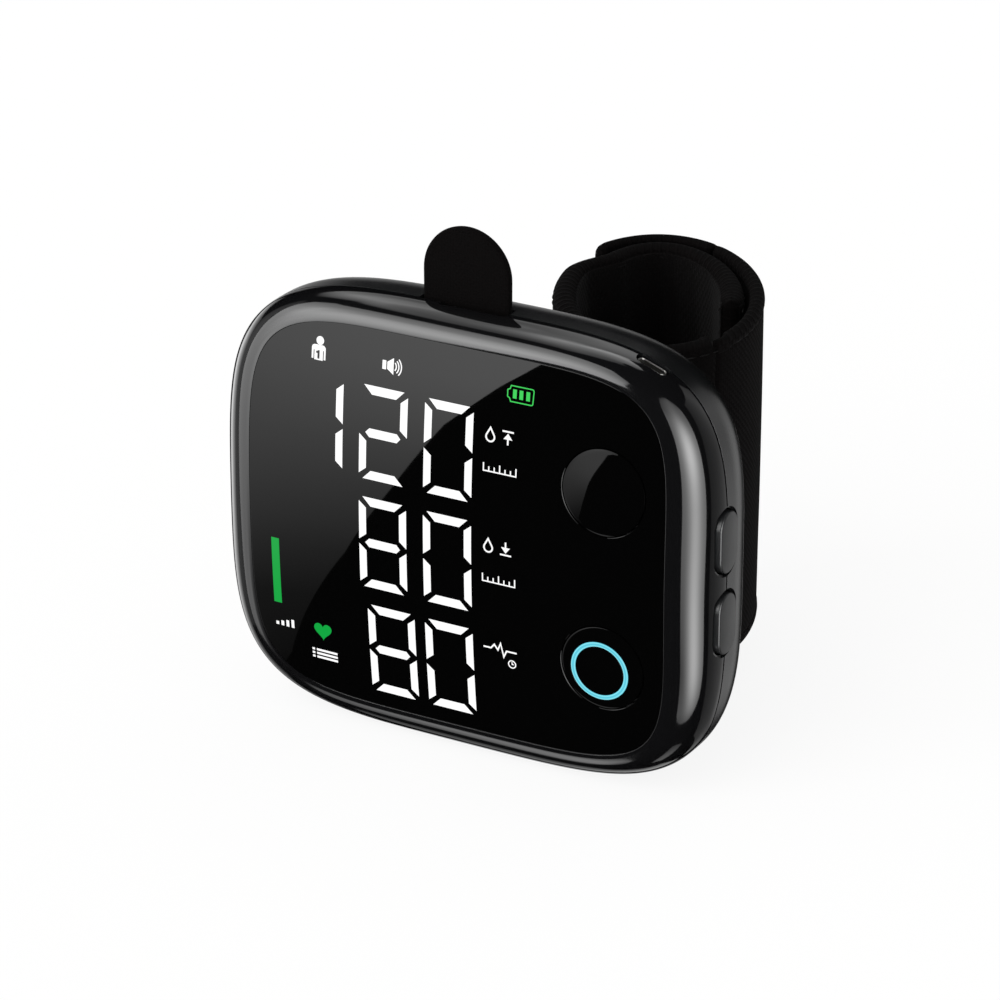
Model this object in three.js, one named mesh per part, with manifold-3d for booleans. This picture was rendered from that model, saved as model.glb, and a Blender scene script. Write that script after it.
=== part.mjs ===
// Wrist blood pressure monitor: a rounded housing with a lit display, four keys,
// an air pump inside, and a cuff that wraps behind it.
// Millimetres. X to the right, Y away from the viewer, Z up. The origin is the middle of
// the small flat under the rear housing that the monitor stands on.
import * as THREE from 'three';
import { mergeVertices } from 'three/addons/utils/BufferGeometryUtils.js';
import Module from 'manifold-3d';

const wasm = await Module();
wasm.setup();

// Clearances
const gap = 0.3;
const seat = 0.1;
const overrun = 2;

// Housing and the display lens set in its front, with a rim all round
const girthWidth = 85.8;
const girthHeight = 72.3;
const girthPower = 3.96;
const girthDrop = 0.5;
const rimAcross = 6.75;
const rimUp = 4.7;
const lensThickness = 1.2;
const lensBendAcross = 1345;
const lensBendUp = 251;
const lensPower = 5.13;
const gasketThickness = 0.5;
const gasketWidth = 1.4;
const seamDepth = 7.73;
const rearStraight = 2.4;
const rearRollInset = 7.95;
const rearRollDepth = 10.3;
const wall = 1.6;
const ledgeWidth = 2;
const ledgeThickness = 1.3;
const lipThickness = 0.8;
const lipHeight = 0.5;
const restCut = 0.25;
const ringSteps = 52;
const rollSteps = 5;

// Round front keys and side keys
const frontKeyRadius = 6.8;
const frontKeyInset = 10.29;
const memoryKeyDrop = 17.84;
const startKeyRise = 16.41;
const frontKeyTravel = 0.4;
const sideKeyHeight = 9.9;
const sideKeyWidth = 5.5;
const sideKeyProud = 0.5;
const sideKeyUpperZ = 6.75;
const sideKeyLowerZ = -6.5;
const sideKeyTravel = 0.5;

// Digits, with the places of the units and of the top row taken from the lens edges
const digitWidth = 8.27;
const digitHeight = 15;
const segmentWidth = 1.5;
const digitPitch = 11.39;
const rowPitch = 18.11;
const unitsInset = 31.38;
const topRowDrop = 8.84;
const lowTensShift = 1.13;

// Main board and battery, set in from the housing's sides
const boardSideInset = 10.3;
const boardRise = 6.15;
const boardDrop = 10.95;
const batteryLength = 36;
const batteryHeight = 18;
const batteryThickness = 6.5;
const batteryInset = 23.6;
const batteryDrop = 3.2;

// Cuff loop, a turned oval seen from above
const loopX = 9.8;
const cuffStandoff = 3.52;
const loopHalfShort = 16.5;
const loopHalfLong = 26;
const loopTurn = 27;
const bandHeight = 55;
const bandBottom = -28;
const coverThickness = 0.8;
const curlerThickness = 0.6;
const bladderThickness = 0.9;
const liningThickness = 0.6;
const layerGap = 0.25;
const flapThickness = 2;
const hookThickness = 0.6;

// Places worked out from the sizes above
const restDepth = seamDepth + rearStraight;
const backDepth = restDepth + rearRollDepth;
const lensRise = girthHeight / 2 + girthDrop - restCut;
const floorDepth = backDepth - wall;
const girthRight = girthWidth / 2;
const lensWidth = girthWidth - 2 * rimAcross;
const lensHeight = girthHeight - 2 * rimUp;
const frontKeyX = lensWidth / 2 - frontKeyInset;
const memoryKeyZ = lensHeight / 2 - memoryKeyDrop;
const startKeyZ = startKeyRise - lensHeight / 2;
const boardRight = girthRight - boardSideInset;
const boardLeft = -boardRight;
const boardLow = boardRise - girthHeight / 2;
const boardHigh = girthHeight / 2 - boardDrop;
const batteryMiddle = boardRight - batteryInset;
const batteryLeft = batteryMiddle - batteryLength / 2;
const batteryRight = batteryMiddle + batteryLength / 2;
const batteryHigh = boardHigh - batteryDrop;
const batteryLow = batteryHigh - batteryHeight;

const device = new THREE.Group();
device.position.set(0, -restDepth, lensRise);

function mix(a, b, share) {
  return a + (b - a) * share;
}

function radians(degrees) {
  return THREE.MathUtils.degToRad(degrees);
}

// Solid with shared corners, ready to be joined or cut
function solid(geometry) {
  const bare = new THREE.BufferGeometry();
  bare.setAttribute('position', geometry.getAttribute('position'));
  bare.setIndex(geometry.getIndex());
  const merged = mergeVertices(bare);
  return new wasm.Manifold(new wasm.Mesh({
    numProp: 3,
    vertProperties: Float32Array.from(merged.getAttribute('position').array),
    triVerts: Uint32Array.from(merged.getIndex().array),
  }));
}

function geometryOf(manifold) {
  const mesh = manifold.getMesh();
  const geometry = new THREE.BufferGeometry();
  geometry.setAttribute('position', new THREE.BufferAttribute(mesh.vertProperties, 3));
  geometry.setIndex(new THREE.BufferAttribute(mesh.triVerts, 1));
  return geometry;
}

function cut(body, ...tools) {
  return tools.reduce((left, tool) => left.subtract(tool), body);
}

function join(body, ...others) {
  return others.reduce((left, other) => left.add(other), body);
}

function addPiece(name, shape, color, roughness, metalness = 0) {
  const geometry = shape.isBufferGeometry ? shape : geometryOf(shape);
  const flat = geometry.getIndex() ? geometry.toNonIndexed() : geometry;
  flat.computeVertexNormals();
  const material = new THREE.MeshStandardMaterial({ color, roughness, metalness });
  const mesh = new THREE.Mesh(flat, material);
  mesh.name = name;
  device.add(mesh);
  return mesh;
}

// Rings of points joined into a skin. Rings run from front to back, so faces point out.
function skin(rings, closed, firstTip, lastTip) {
  const count = rings[0].length;
  const points = rings.flat();
  const faces = [];
  const last = closed ? rings.length : rings.length - 1;
  for (let k = 0; k < last; k += 1) {
    const here = k * count;
    const next = ((k + 1) % rings.length) * count;
    for (let i = 0; i < count; i += 1) {
      const j = (i + 1) % count;
      faces.push(here + i, next + j, here + j);
      faces.push(here + i, next + i, next + j);
    }
  }
  if (!closed) {
    const first = points.push(firstTip) - 1;
    const end = points.push(lastTip) - 1;
    const lastRing = (rings.length - 1) * count;
    for (let i = 0; i < count; i += 1) {
      const j = (i + 1) % count;
      faces.push(first, i, j);
      faces.push(end, lastRing + j, lastRing + i);
    }
  }
  const geometry = new THREE.BufferGeometry();
  geometry.setFromPoints(points);
  geometry.setIndex(faces);
  return geometry;
}

// Simple bodies
function boxAt(low, high) {
  const size = high.map((value, i) => value - low[i]);
  const geometry = new THREE.BoxGeometry(...size);
  geometry.translate(...low.map((value, i) => value + size[i] / 2));
  return geometry;
}

function cylinderAlong(axis, radius, from, to, centre, sides = 20) {
  const geometry = new THREE.CylinderGeometry(radius, radius, to - from, sides);
  const middle = (from + to) / 2;
  if (axis === 'x') {
    geometry.rotateZ(-Math.PI / 2);
    geometry.translate(middle, centre[0], centre[1]);
  } else if (axis === 'y') {
    geometry.translate(centre[0], middle, centre[1]);
  } else {
    geometry.rotateX(Math.PI / 2);
    geometry.translate(centre[0], centre[1], middle);
  }
  return geometry;
}

// A lathe turned about Y: profile points are [radius, depth]
function turned(profile, centre, sides = 28) {
  const geometry = new THREE.LatheGeometry(profile.map(([r, y]) => new THREE.Vector2(r, y)), sides);
  geometry.translate(centre[0], 0, centre[1]);
  return geometry;
}

function capsuleOutline(halfWidth, halfHeight) {
  const outline = new THREE.Shape();
  const straight = halfHeight - halfWidth;
  outline.moveTo(halfWidth, -straight);
  outline.absarc(0, straight, halfWidth, 0, Math.PI, false);
  outline.absarc(0, -straight, halfWidth, Math.PI, 2 * Math.PI, false);
  return outline;
}

function roundedOutline(halfWidth, halfHeight, radius) {
  const outline = new THREE.Shape();
  const x = halfWidth - radius;
  const y = halfHeight - radius;
  outline.moveTo(halfWidth, -y);
  outline.absarc(x, y, radius, 0, Math.PI / 2, false);
  outline.absarc(-x, y, radius, Math.PI / 2, Math.PI, false);
  outline.absarc(-x, -y, radius, Math.PI, 1.5 * Math.PI, false);
  outline.absarc(x, -y, radius, 1.5 * Math.PI, 2 * Math.PI, false);
  return outline;
}

function plateFrom(outline, thickness, curveSegments = 6) {
  return new THREE.ExtrudeGeometry(outline, { depth: thickness, bevelEnabled: false, curveSegments });
}

// An outline drawn in X and Z, standing from one depth to another
function standing(outline, fromDepth, toDepth, curveSegments = 6) {
  const geometry = plateFrom(outline, toDepth - fromDepth, curveSegments);
  geometry.rotateX(Math.PI / 2);
  geometry.translate(0, toDepth, 0);
  return geometry;
}

// Oval rings of the lens and of the housing
const ringAngles = Array.from({ length: ringSteps }, (_, i) => (2 * Math.PI * i) / ringSteps);

function sag(x, z) {
  const across = lensBendAcross - Math.sqrt(lensBendAcross ** 2 - x ** 2);
  const up = lensBendUp - Math.sqrt(lensBendUp ** 2 - z ** 2);
  return across + up;
}

function ovalPoint(angle, halfWidth, halfHeight, power) {
  const reach = 2 / power;
  const c = Math.cos(angle);
  const s = Math.sin(angle);
  return [
    halfWidth * Math.sign(c) * Math.abs(c) ** reach,
    halfHeight * Math.sign(s) * Math.abs(s) ** reach,
  ];
}

function lensRing(inset, extraDepth) {
  return ringAngles.map((angle) => {
    const [x, z] = ovalPoint(angle, lensWidth / 2 - inset, lensHeight / 2 - inset, lensPower);
    return new THREE.Vector3(x, sag(x, z) + extraDepth, z);
  });
}

function girthRing(inset, depth) {
  return ringAngles.map((angle) => {
    const [x, z] = ovalPoint(angle, girthRight - inset, girthHeight / 2 - inset, girthPower);
    return new THREE.Vector3(x, depth, z - girthDrop);
  });
}

function mixRings(from, to, across, deep) {
  return from.map((point, i) => new THREE.Vector3(
    mix(point.x, to[i].x, across),
    mix(point.y, to[i].y, deep),
    mix(point.z, to[i].z, across),
  ));
}

// Quarter-oval roll between two rings, end rings left out
function rollRings(from, to) {
  const rings = [];
  for (let k = 1; k < rollSteps; k += 1) {
    const angle = (Math.PI / 2) * (k / rollSteps);
    rings.push(mixRings(from, to, Math.sin(angle), 1 - Math.cos(angle)));
  }
  return rings;
}

// Display lens with its two key holes
const keyClearance = 0.18;
const keyHoleRadius = frontKeyRadius + keyClearance;
const frontKeys = [[frontKeyX, memoryKeyZ], [frontKeyX, startKeyZ]];
const lensMiddle = lensHeight / 4;
const lensSkin = skin(
  [
    lensRing(lensMiddle, 0),
    lensRing(lensMiddle / 2, 0),
    lensRing(0, 0),
    lensRing(0, lensThickness),
    lensRing(lensMiddle / 2, lensThickness),
    lensRing(lensMiddle, lensThickness),
  ],
  false,
  new THREE.Vector3(0, 0, 0),
  new THREE.Vector3(0, lensThickness, 0),
);
const keyHoles = frontKeys.map((centre) => (
  solid(cylinderAlong('y', keyHoleRadius, -overrun, lensThickness + 2 * overrun, centre, 24))
));
addPiece('display_lens', cut(solid(lensSkin), ...keyHoles), 0x050506, 0.05);

// Foam gasket between the lens and its ledge
const gasketFront = lensThickness + seat;
const gasketBack = gasketFront + gasketThickness;
const gasketInner = seat + gasketWidth;
addPiece('lens_gasket', skin([
  lensRing(gasketInner, gasketFront),
  lensRing(seat, gasketFront),
  lensRing(seat, gasketBack),
  lensRing(gasketInner, gasketBack),
], true), 0x1c1c1e, 0.9);

// Front housing: window ledge, rim round the lens, outer roll and inner wall
const ledgeFront = gasketBack + seat;
const ledgeBack = ledgeFront + ledgeThickness;
const seamFront = seamDepth - gap / 2;
const seamRear = seamDepth + gap / 2;
const rim = lensRing(-seat, 0);
const girthFront = girthRing(0, seamFront);
const innerFront = girthRing(wall, seamFront);
const ledgeInner = lensRing(ledgeWidth, ledgeBack);
const frontRings = [
  lensRing(ledgeWidth, ledgeFront),
  lensRing(-seat, ledgeFront),
  rim,
  ...rollRings(rim, girthFront),
  girthFront,
  innerFront,
  ...rollRings(ledgeInner, innerFront).reverse(),
  ledgeInner,
];

// Rear housing: floor, inner wall, lip, outer wall and back
const lipInset = wall + 2 * gap;
const cornerInset = girthRing(0, restDepth);
const backRing = girthRing(rearRollInset, backDepth);
const floorRing = girthRing(rearRollInset + wall, floorDepth);
const innerStart = girthRing(lipInset + lipThickness, restDepth);

function rearRoll(from, to) {
  const rings = [];
  for (let k = 1; k < rollSteps; k += 1) {
    const angle = (Math.PI / 2) * (k / rollSteps);
    rings.push(mixRings(from, to, 1 - Math.cos(angle), Math.sin(angle)));
  }
  return rings;
}

const lipFront = seamFront - lipHeight;
const rearRings = [
  floorRing,
  ...rearRoll(innerStart, floorRing).reverse(),
  innerStart,
  girthRing(lipInset + lipThickness, lipFront),
  girthRing(lipInset, lipFront),
  girthRing(lipInset, seamRear),
  girthRing(0, seamRear),
  cornerInset,
  ...rearRoll(cornerInset, backRing),
  backRing,
];

// Screw bosses that hold the two housings together
const bossInset = 7.3;
const bossUpperDrop = 18.65;
const bossLowerRise = 17.15;
const bossX = girthRight - bossInset;
const bossUpperZ = girthHeight / 2 - bossUpperDrop;
const bossLowerZ = bossLowerRise - girthHeight / 2;
const bossRadius = 2.6;
const bossTop = 11.2;
const bossRoot = ledgeBack + wall / 4;
const screwRadius = 0.95;
const screwTip = 5.2;
const screwHeadRadius = 1.8;
const screwHeadHeight = 1.4;
const rearBossTop = bossTop + gap;
const headSeat = rearBossTop + wall;
const bossPlaces = [[-bossX, bossUpperZ], [bossX, bossUpperZ], [-bossX, bossLowerZ], [bossX, bossLowerZ]];
const screwClearance = screwRadius + gap;

// Charging port on the rounded top right, square to the surface there
const portWidth = 5;
const portHeight = 1.9;
const portDepth = 5.5;
const portWall = 0.3;
const portInset = 12.3;
const portRise = 0.2;
const portX = girthRight - portInset;
const portShare = (1 - (portX / girthRight) ** girthPower) ** (1 / girthPower);
const portZ = (girthHeight / 2) * portShare - girthDrop + portRise;
const portTurn = 20;
const portForward = 0.75;
const portSink = 0.7;

function atPort(geometry) {
  geometry.rotateY(radians(portTurn));
  geometry.translate(portX, seamDepth - portForward, portZ);
  return geometry;
}

function portOutline(margin) {
  const half = portHeight / 2 + margin;
  const outline = capsuleOutline(half, portWidth / 2 + margin);
  return new THREE.Shape(outline.getPoints(6).map((p) => new THREE.Vector2(p.y, -p.x)).reverse());
}

const portCutGeometry = plateFrom(portOutline(gap), portDepth + 2 * overrun);
portCutGeometry.translate(0, 0, -portDepth - overrun);
const portCut = solid(atPort(portCutGeometry));

// Slot at the top of the seam, with the tongue that stands in it and the bar at its foot
const tongueX = -1.9;
const tongueWidth = 15;
const tongueThickness = 1.2;
const tongueLength = 14.6;
const tongueSink = 2.95;
const tongueFoot = girthHeight / 2 - tongueSink;
const tongueTop = tongueFoot + tongueLength;
const tongueFootWidth = 17;
const tongueFootHeight = 1.5;
const tongueFront = seamDepth + 2 * gap;
const slotTop = girthHeight / 2 + overrun;
const slotBack = tongueFront + tongueThickness + gap;
const latchWidth = 10.7;
const latchHeight = 1.6;
const latchThickness = 0.6;
const latchFront = seamDepth - latchThickness - gap / 2;
const latchTop = girthHeight / 2 - girthDrop - gap;
const slotHalf = tongueWidth / 2 + gap;
const footLow = tongueFoot - tongueFootHeight - gap;
const slotCut = solid(boxAt(
  [tongueX - slotHalf, seamDepth - overrun / 2, tongueFoot - overrun / 2],
  [tongueX + slotHalf, slotBack, slotTop],
));
const footCut = solid(boxAt(
  [tongueX - tongueFootWidth / 2 - gap, lipFront - overrun / 2, footLow],
  [tongueX + tongueFootWidth / 2 + gap, slotBack, tongueFoot + gap],
));
const latchCut = solid(boxAt(
  [-latchWidth / 2 - gap, latchFront - gap, latchTop - latchHeight - gap],
  [latchWidth / 2 + gap, seamDepth, slotTop],
));
const footRelief = solid(boxAt(
  [tongueX - tongueFootWidth / 2 - gap, latchFront - gap, footLow],
  [tongueX + tongueFootWidth / 2 + gap, seamDepth + overrun, latchTop - latchHeight - gap],
));

// Side key openings through the seam
const sideKeys = [sideKeyUpperZ, sideKeyLowerZ];
const sideFace = girthRight + sideKeyProud;
const wellDepth = 0.6;

function sideCapsule(margin, from, to) {
  const outline = capsuleOutline(sideKeyWidth / 2 + margin, sideKeyHeight / 2 + margin);
  const geometry = plateFrom(outline, to - from, 5);
  geometry.rotateX(Math.PI / 2);
  geometry.rotateZ(Math.PI / 2);
  return geometry;
}

function sideCapsuleAt(margin, from, to, height) {
  const geometry = sideCapsule(margin, from, to);
  geometry.translate(from, seamDepth, height);
  return solid(geometry);
}

const lipInner = girthRight - lipInset - lipThickness;
const sideFlange = 0.8;
const sideFlangeThickness = 0.8;
const keyPocketEnd = lipInner - 2 * gap - sideFlangeThickness - sideKeyTravel;
const keyOpenings = sideKeys.flatMap((z) => [
  sideCapsuleAt(sideFlange + gap, keyPocketEnd, lipInner, z),
  sideCapsuleAt(gap, lipInner - overrun, girthRight + overrun, z),
  sideCapsuleAt(2 * gap, girthRight - wellDepth, girthRight + overrun, z),
]);

const restPlane = solid(boxAt(
  [-girthRight, -overrun, -girthHeight],
  [girthRight, backDepth + overrun, -lensRise],
));
const frontBosses = bossPlaces.map((centre) => (
  solid(cylinderAlong('y', bossRadius, bossRoot, bossTop, centre, 16))
));
const frontPilots = bossPlaces.map((centre) => (
  solid(cylinderAlong('y', screwClearance, screwTip - gap, bossTop + overrun, centre, 12))
));
addPiece('front_housing', cut(
  join(solid(skin(frontRings, true)), ...frontBosses),
  ...frontPilots,
  ...keyOpenings,
  portCut,
  latchCut,
  footRelief,
  restPlane,
), 0x17181a, 0.16);

// Plan of the cuff: points on the turned oval, moved in by an inset
const turnAngle = radians(loopTurn);
const loopReach = Math.hypot(loopHalfShort * Math.sin(turnAngle), loopHalfLong * Math.cos(turnAngle));
const loopY = backDepth + cuffStandoff + loopReach;

function loopPoint(degrees, inset) {
  const angle = radians(degrees);
  const across = loopHalfShort * Math.cos(angle);
  const along = loopHalfLong * Math.sin(angle);
  const normal = new THREE.Vector2(across / loopHalfShort ** 2, along / loopHalfLong ** 2).normalize();
  const point = new THREE.Vector2(across - normal.x * inset, along - normal.y * inset);
  return point.rotateAround(new THREE.Vector2(0, 0), turnAngle).add(new THREE.Vector2(loopX, loopY));
}

// Angle at which the oval comes nearest to the housing
const frontAngle = 180 + THREE.MathUtils.radToDeg(
  Math.atan2(loopHalfLong * Math.cos(turnAngle), loopHalfShort * Math.sin(turnAngle)),
);

// Air nipple, saddle screws and speaker holes pass through the back
const nippleX = loopPoint(frontAngle, 0).x;
const nippleRadius = 2;
const nippleFlange = 4;
const nippleZ = batteryLow - nippleFlange - gap;
const saddleScrewSpread = 10.5;
const saddleScrewDrop = 1;
const saddleScrews = [
  [nippleX - saddleScrewSpread, nippleZ - saddleScrewDrop],
  [nippleX + saddleScrewSpread, nippleZ - saddleScrewDrop],
];
const speakerInset = 20.9;
const speakerX = speakerInset - girthRight;
const speakerZ = 11;
const speakerRadius = 8.5;
const soundHoleRadius = 0.7;
const soundHoleRing = 3;
const soundHoles = [[speakerX, speakerZ]];
for (let k = 0; k < 6; k += 1) {
  const angle = (Math.PI / 3) * k;
  soundHoles.push([speakerX + soundHoleRing * Math.cos(angle), speakerZ + soundHoleRing * Math.sin(angle)]);
}
const rearBosses = bossPlaces.map((centre) => (
  solid(cylinderAlong('y', bossRadius + gap, rearBossTop, floorDepth + wall / 2, centre, 16))
));

function drill(radius, centre, sides = 12) {
  return solid(cylinderAlong('y', radius, floorDepth - overrun, backDepth + overrun, centre, sides));
}

const bossHoles = bossPlaces.map((centre) => (
  solid(cylinderAlong('y', screwClearance, rearBossTop - overrun, headSeat + overrun, centre, 12))
));
const headHoles = bossPlaces.map((centre) => (
  solid(cylinderAlong('y', screwHeadRadius + gap, headSeat, backDepth + overrun, centre, 16))
));
const rearShell = solid(skin(
  rearRings,
  false,
  new THREE.Vector3(0, floorDepth, -girthDrop),
  new THREE.Vector3(0, backDepth, -girthDrop),
));
const rearOuter = solid(skin(
  [girthRing(0, seamRear), cornerInset, ...rearRoll(cornerInset, backRing), backRing],
  false,
  new THREE.Vector3(0, seamRear, -girthDrop),
  new THREE.Vector3(0, backDepth, -girthDrop),
));
const trimmedBosses = rearBosses.map((boss) => boss.intersect(rearOuter));
addPiece('rear_housing', cut(
  join(rearShell, ...trimmedBosses),
  ...bossHoles,
  ...headHoles,
  ...keyOpenings,
  portCut,
  slotCut,
  footCut,
  drill(nippleRadius + gap, [nippleX, nippleZ]),
  ...saddleScrews.map((centre) => drill(screwClearance, centre)),
  ...soundHoles.map((centre) => drill(soundHoleRadius, centre, 8)),
  restPlane,
), 0x141517, 0.3);

// Four screws through the rear bosses into the front ones
bossPlaces.forEach((centre, i) => {
  addPiece(`housing_screw_${i + 1}`, turned([
    [0, screwTip],
    [screwRadius, screwTip + screwRadius],
    [screwRadius, headSeat + seat],
    [screwHeadRadius, headSeat + seat],
    [screwHeadRadius, headSeat + seat + screwHeadHeight],
    [0, headSeat + seat + screwHeadHeight],
  ], centre, 12), 0x8d9094, 0.35, 1);
});

// Tongue, square at the foot and round at the top, and the thin bar in front of it
const tongueOutline = new THREE.Shape();
const tongueHalf = tongueWidth / 2;
const footHalf = tongueFootWidth / 2;
tongueOutline.moveTo(-footHalf, tongueFoot - tongueFootHeight);
tongueOutline.lineTo(footHalf, tongueFoot - tongueFootHeight);
tongueOutline.lineTo(footHalf, tongueFoot);
tongueOutline.lineTo(tongueHalf, tongueFoot);
tongueOutline.lineTo(tongueHalf, tongueTop - tongueHalf);
tongueOutline.absarc(0, tongueTop - tongueHalf, tongueHalf, 0, Math.PI, false);
tongueOutline.lineTo(-tongueHalf, tongueFoot);
tongueOutline.lineTo(-footHalf, tongueFoot);
const tongue = standing(tongueOutline, tongueFront, tongueFront + tongueThickness, 12);
tongue.translate(tongueX, 0, 0);
addPiece('strap_tongue', tongue, 0x060505, 0.9);
addPiece('tongue_latch', boxAt(
  [-latchWidth / 2, latchFront, latchTop - latchHeight],
  [latchWidth / 2, latchFront + latchThickness, latchTop],
), 0x2a2b2d, 0.15);

// Display mask with a window for each digit, and the light guide with its raised segments
const unitsLeft = unitsInset - lensWidth / 2;
const tensLeft = unitsLeft - digitPitch;
const lowTensLeft = tensLeft + lowTensShift;
const hundredsLeft = tensLeft - digitPitch;
const upperRowTop = lensHeight / 2 - topRowDrop;
const middleRowTop = upperRowTop - rowPitch;
const lowerRowTop = middleRowTop - rowPitch;
const digits = [
  { left: unitsLeft, top: upperRowTop, lit: 'abcdef' },
  { left: tensLeft, top: upperRowTop, lit: 'abdeg' },
  { left: hundredsLeft, top: upperRowTop, lit: 'bc' },
  { left: unitsLeft, top: middleRowTop, lit: 'abcdef' },
  { left: tensLeft, top: middleRowTop, lit: 'abcdefg' },
  { left: unitsLeft, top: lowerRowTop, lit: 'abcdef' },
  { left: lowTensLeft, top: lowerRowTop, lit: 'abcdefg' },
];
const maskFront = 3.5;
const maskThickness = 1.6;
const maskBack = maskFront + maskThickness;
const maskMargin = 0.6;
const windowMargin = 0.15;
const guidePlate = 0.6;
const guideFront = maskBack + seat;
const guideBack = guideFront + guidePlate;
const panelRight = unitsLeft + digitWidth + maskMargin;
const panelTop = upperRowTop + maskMargin;
const panelStep = upperRowTop - digitHeight - maskMargin;
const panelLow = lowerRowTop - digitHeight - maskMargin;
const wideLeft = hundredsLeft - maskMargin;
const narrowLeft = tensLeft - maskMargin;

// Panel behind the digits: wide beside the top row, narrow below it
function panel(inset, front, back) {
  const corner = [panelRight - inset, back, panelTop - inset];
  const wide = boxAt([wideLeft + inset, front, panelStep + inset], corner);
  const narrow = boxAt([narrowLeft + inset, front, panelLow + inset], corner);
  return join(solid(wide), solid(narrow));
}

const digitBoxes = digits.map(({ left, top }) => [left, top - digitHeight, left + digitWidth, top]);
const maskWindows = digitBoxes.map(([left, low, right, top]) => solid(boxAt(
  [left - windowMargin, maskFront - overrun, low - windowMargin],
  [right + windowMargin, maskBack + overrun, top + windowMargin],
)));
addPiece('display_mask', cut(panel(0, maskFront, maskBack), ...maskWindows), 0x0a0a0a, 0.8);

// One bar with pointed ends between two corners of a digit
const segmentStartShare = 1.2;

function segmentOutline(from, to) {
  const length = Math.hypot(to[0] - from[0], to[1] - from[1]);
  const half = segmentWidth / 2;
  const along = [(to[0] - from[0]) / length, (to[1] - from[1]) / length];
  const start = half * segmentStartShare;
  const place = (distance, side) => new THREE.Vector2(
    from[0] + along[0] * distance - along[1] * side,
    from[1] + along[1] * distance + along[0] * side,
  );
  return new THREE.Shape([
    place(start - half, 0),
    place(start, -half),
    place(length - start, -half),
    place(length - start + half, 0),
    place(length - start, half),
    place(start, half),
  ]);
}

function segmentEnds(name, [left, low, right, top]) {
  const half = segmentWidth / 2;
  const x0 = left + half;
  const x1 = right - half;
  const z0 = low + half;
  const z2 = top - half;
  const z1 = (z0 + z2) / 2;
  const ends = {
    a: [[x0, z2], [x1, z2]],
    b: [[x1, z1], [x1, z2]],
    c: [[x1, z0], [x1, z1]],
    d: [[x0, z0], [x1, z0]],
    e: [[x0, z0], [x0, z1]],
    f: [[x0, z1], [x0, z2]],
    g: [[x0, z1], [x1, z1]],
  };
  return ends[name];
}

const guideInset = maskMargin / 2;
const guideBars = digits.flatMap((digit, i) => [...digit.lit].map((name) => {
  const [from, to] = segmentEnds(name, digitBoxes[i]);
  return solid(standing(segmentOutline(from, to), maskFront + seat, guideFront + guidePlate / 2));
}));
const guidePanel = panel(guideInset, guideFront, guideBack);
addPiece('segment_light_guide', join(guidePanel, ...guideBars), 0xf4f6f8, 0.4);

// Main board, with its corners cleared for the housing
const boardFront = guideBack + seat;
const boardThickness = 1;
const boardBack = boardFront + boardThickness;
const boardCorner = 7;
const boardOutline = roundedOutline((boardRight - boardLeft) / 2, (boardHigh - boardLow) / 2, boardCorner);
const board = standing(boardOutline, boardFront, boardBack, 4);
board.translate((boardLeft + boardRight) / 2, 0, (boardLow + boardHigh) / 2);
addPiece('main_board', board, 0x0f4a2c, 0.6);

// Front keys: cap, flange behind the lens and stem down to a switch on the board
const keyFlange = 0.9;
const flangeThickness = 0.8;
const stemRadius = 1.6;
const switchSize = 4.4;
const switchHeight = 0.8;
const plungerRadius = 1;
const plungerHeight = 0.25;
const ringOuter = 4.95;
const ringInner = 4.1;
const ringDepth = 0.6;
const capCrown = 0.15;
const switchFront = boardFront - seat - switchHeight;
const stemEnd = switchFront - plungerHeight - frontKeyTravel - seat;

const keySteps = 24;
const keyAngles = Array.from({ length: keySteps }, (_, i) => (2 * Math.PI * i) / keySteps);

// Circle round a key's centre, either following the lens surface or flat at one depth
function keyCircle(centre, radius, extraDepth, flatDepth) {
  return keyAngles.map((angle) => {
    const x = centre[0] + radius * Math.cos(angle);
    const z = centre[1] + radius * Math.sin(angle);
    return new THREE.Vector3(x, flatDepth ?? sag(x, z) + extraDepth, z);
  });
}

function keyRing(centre, inner, outer, front, back) {
  return skin([
    keyCircle(centre, inner, front),
    keyCircle(centre, outer, front),
    keyCircle(centre, outer, back),
    keyCircle(centre, inner, back),
  ], true);
}

function keyCap(centre) {
  const flangeRadius = frontKeyRadius + keyFlange;
  const farthest = sag(centre[0] + flangeRadius, Math.abs(centre[1]) + flangeRadius);
  const flangeFront = farthest + lensThickness + gap;
  const flangeBack = flangeFront + flangeThickness;
  return solid(skin(
    [
      keyCircle(centre, frontKeyRadius / 2, 0),
      keyCircle(centre, frontKeyRadius - 2 * capCrown, 0),
      keyCircle(centre, frontKeyRadius, capCrown),
      keyCircle(centre, frontKeyRadius, 0, flangeFront),
      keyCircle(centre, flangeRadius, 0, flangeFront),
      keyCircle(centre, flangeRadius, 0, flangeBack),
      keyCircle(centre, stemRadius, 0, flangeBack),
      keyCircle(centre, stemRadius, 0, stemEnd),
    ],
    false,
    new THREE.Vector3(centre[0], sag(...centre), centre[1]),
    new THREE.Vector3(centre[0], stemEnd, centre[1]),
  ));
}

const [memoryPlace, startPlace] = frontKeys;
const ringGroove = keyRing(startPlace, ringInner - seat, ringOuter + seat, -overrun, ringDepth + seat);
addPiece('memory_button', keyCap(memoryPlace), 0x08080a, 0.08);
addPiece('start_button', cut(keyCap(startPlace), solid(ringGroove)), 0x08080a, 0.08);
addPiece('start_ring', keyRing(startPlace, ringInner, ringOuter, 0, ringDepth), 0x55c8de, 0.3);

function switchBody(plunger, body) {
  return join(solid(body), solid(plunger));
}

frontKeys.forEach(([x, z], i) => {
  const half = switchSize / 2;
  addPiece(`key_switch_${i + 1}`, switchBody(
    cylinderAlong('y', plungerRadius, switchFront - plungerHeight, switchFront + seat, [x, z], 12),
    boxAt([x - half, switchFront, z - half], [x + half, boardFront - seat, z + half]),
  ), 0x9a9a9a, 0.4, 0.6);
});

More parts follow.
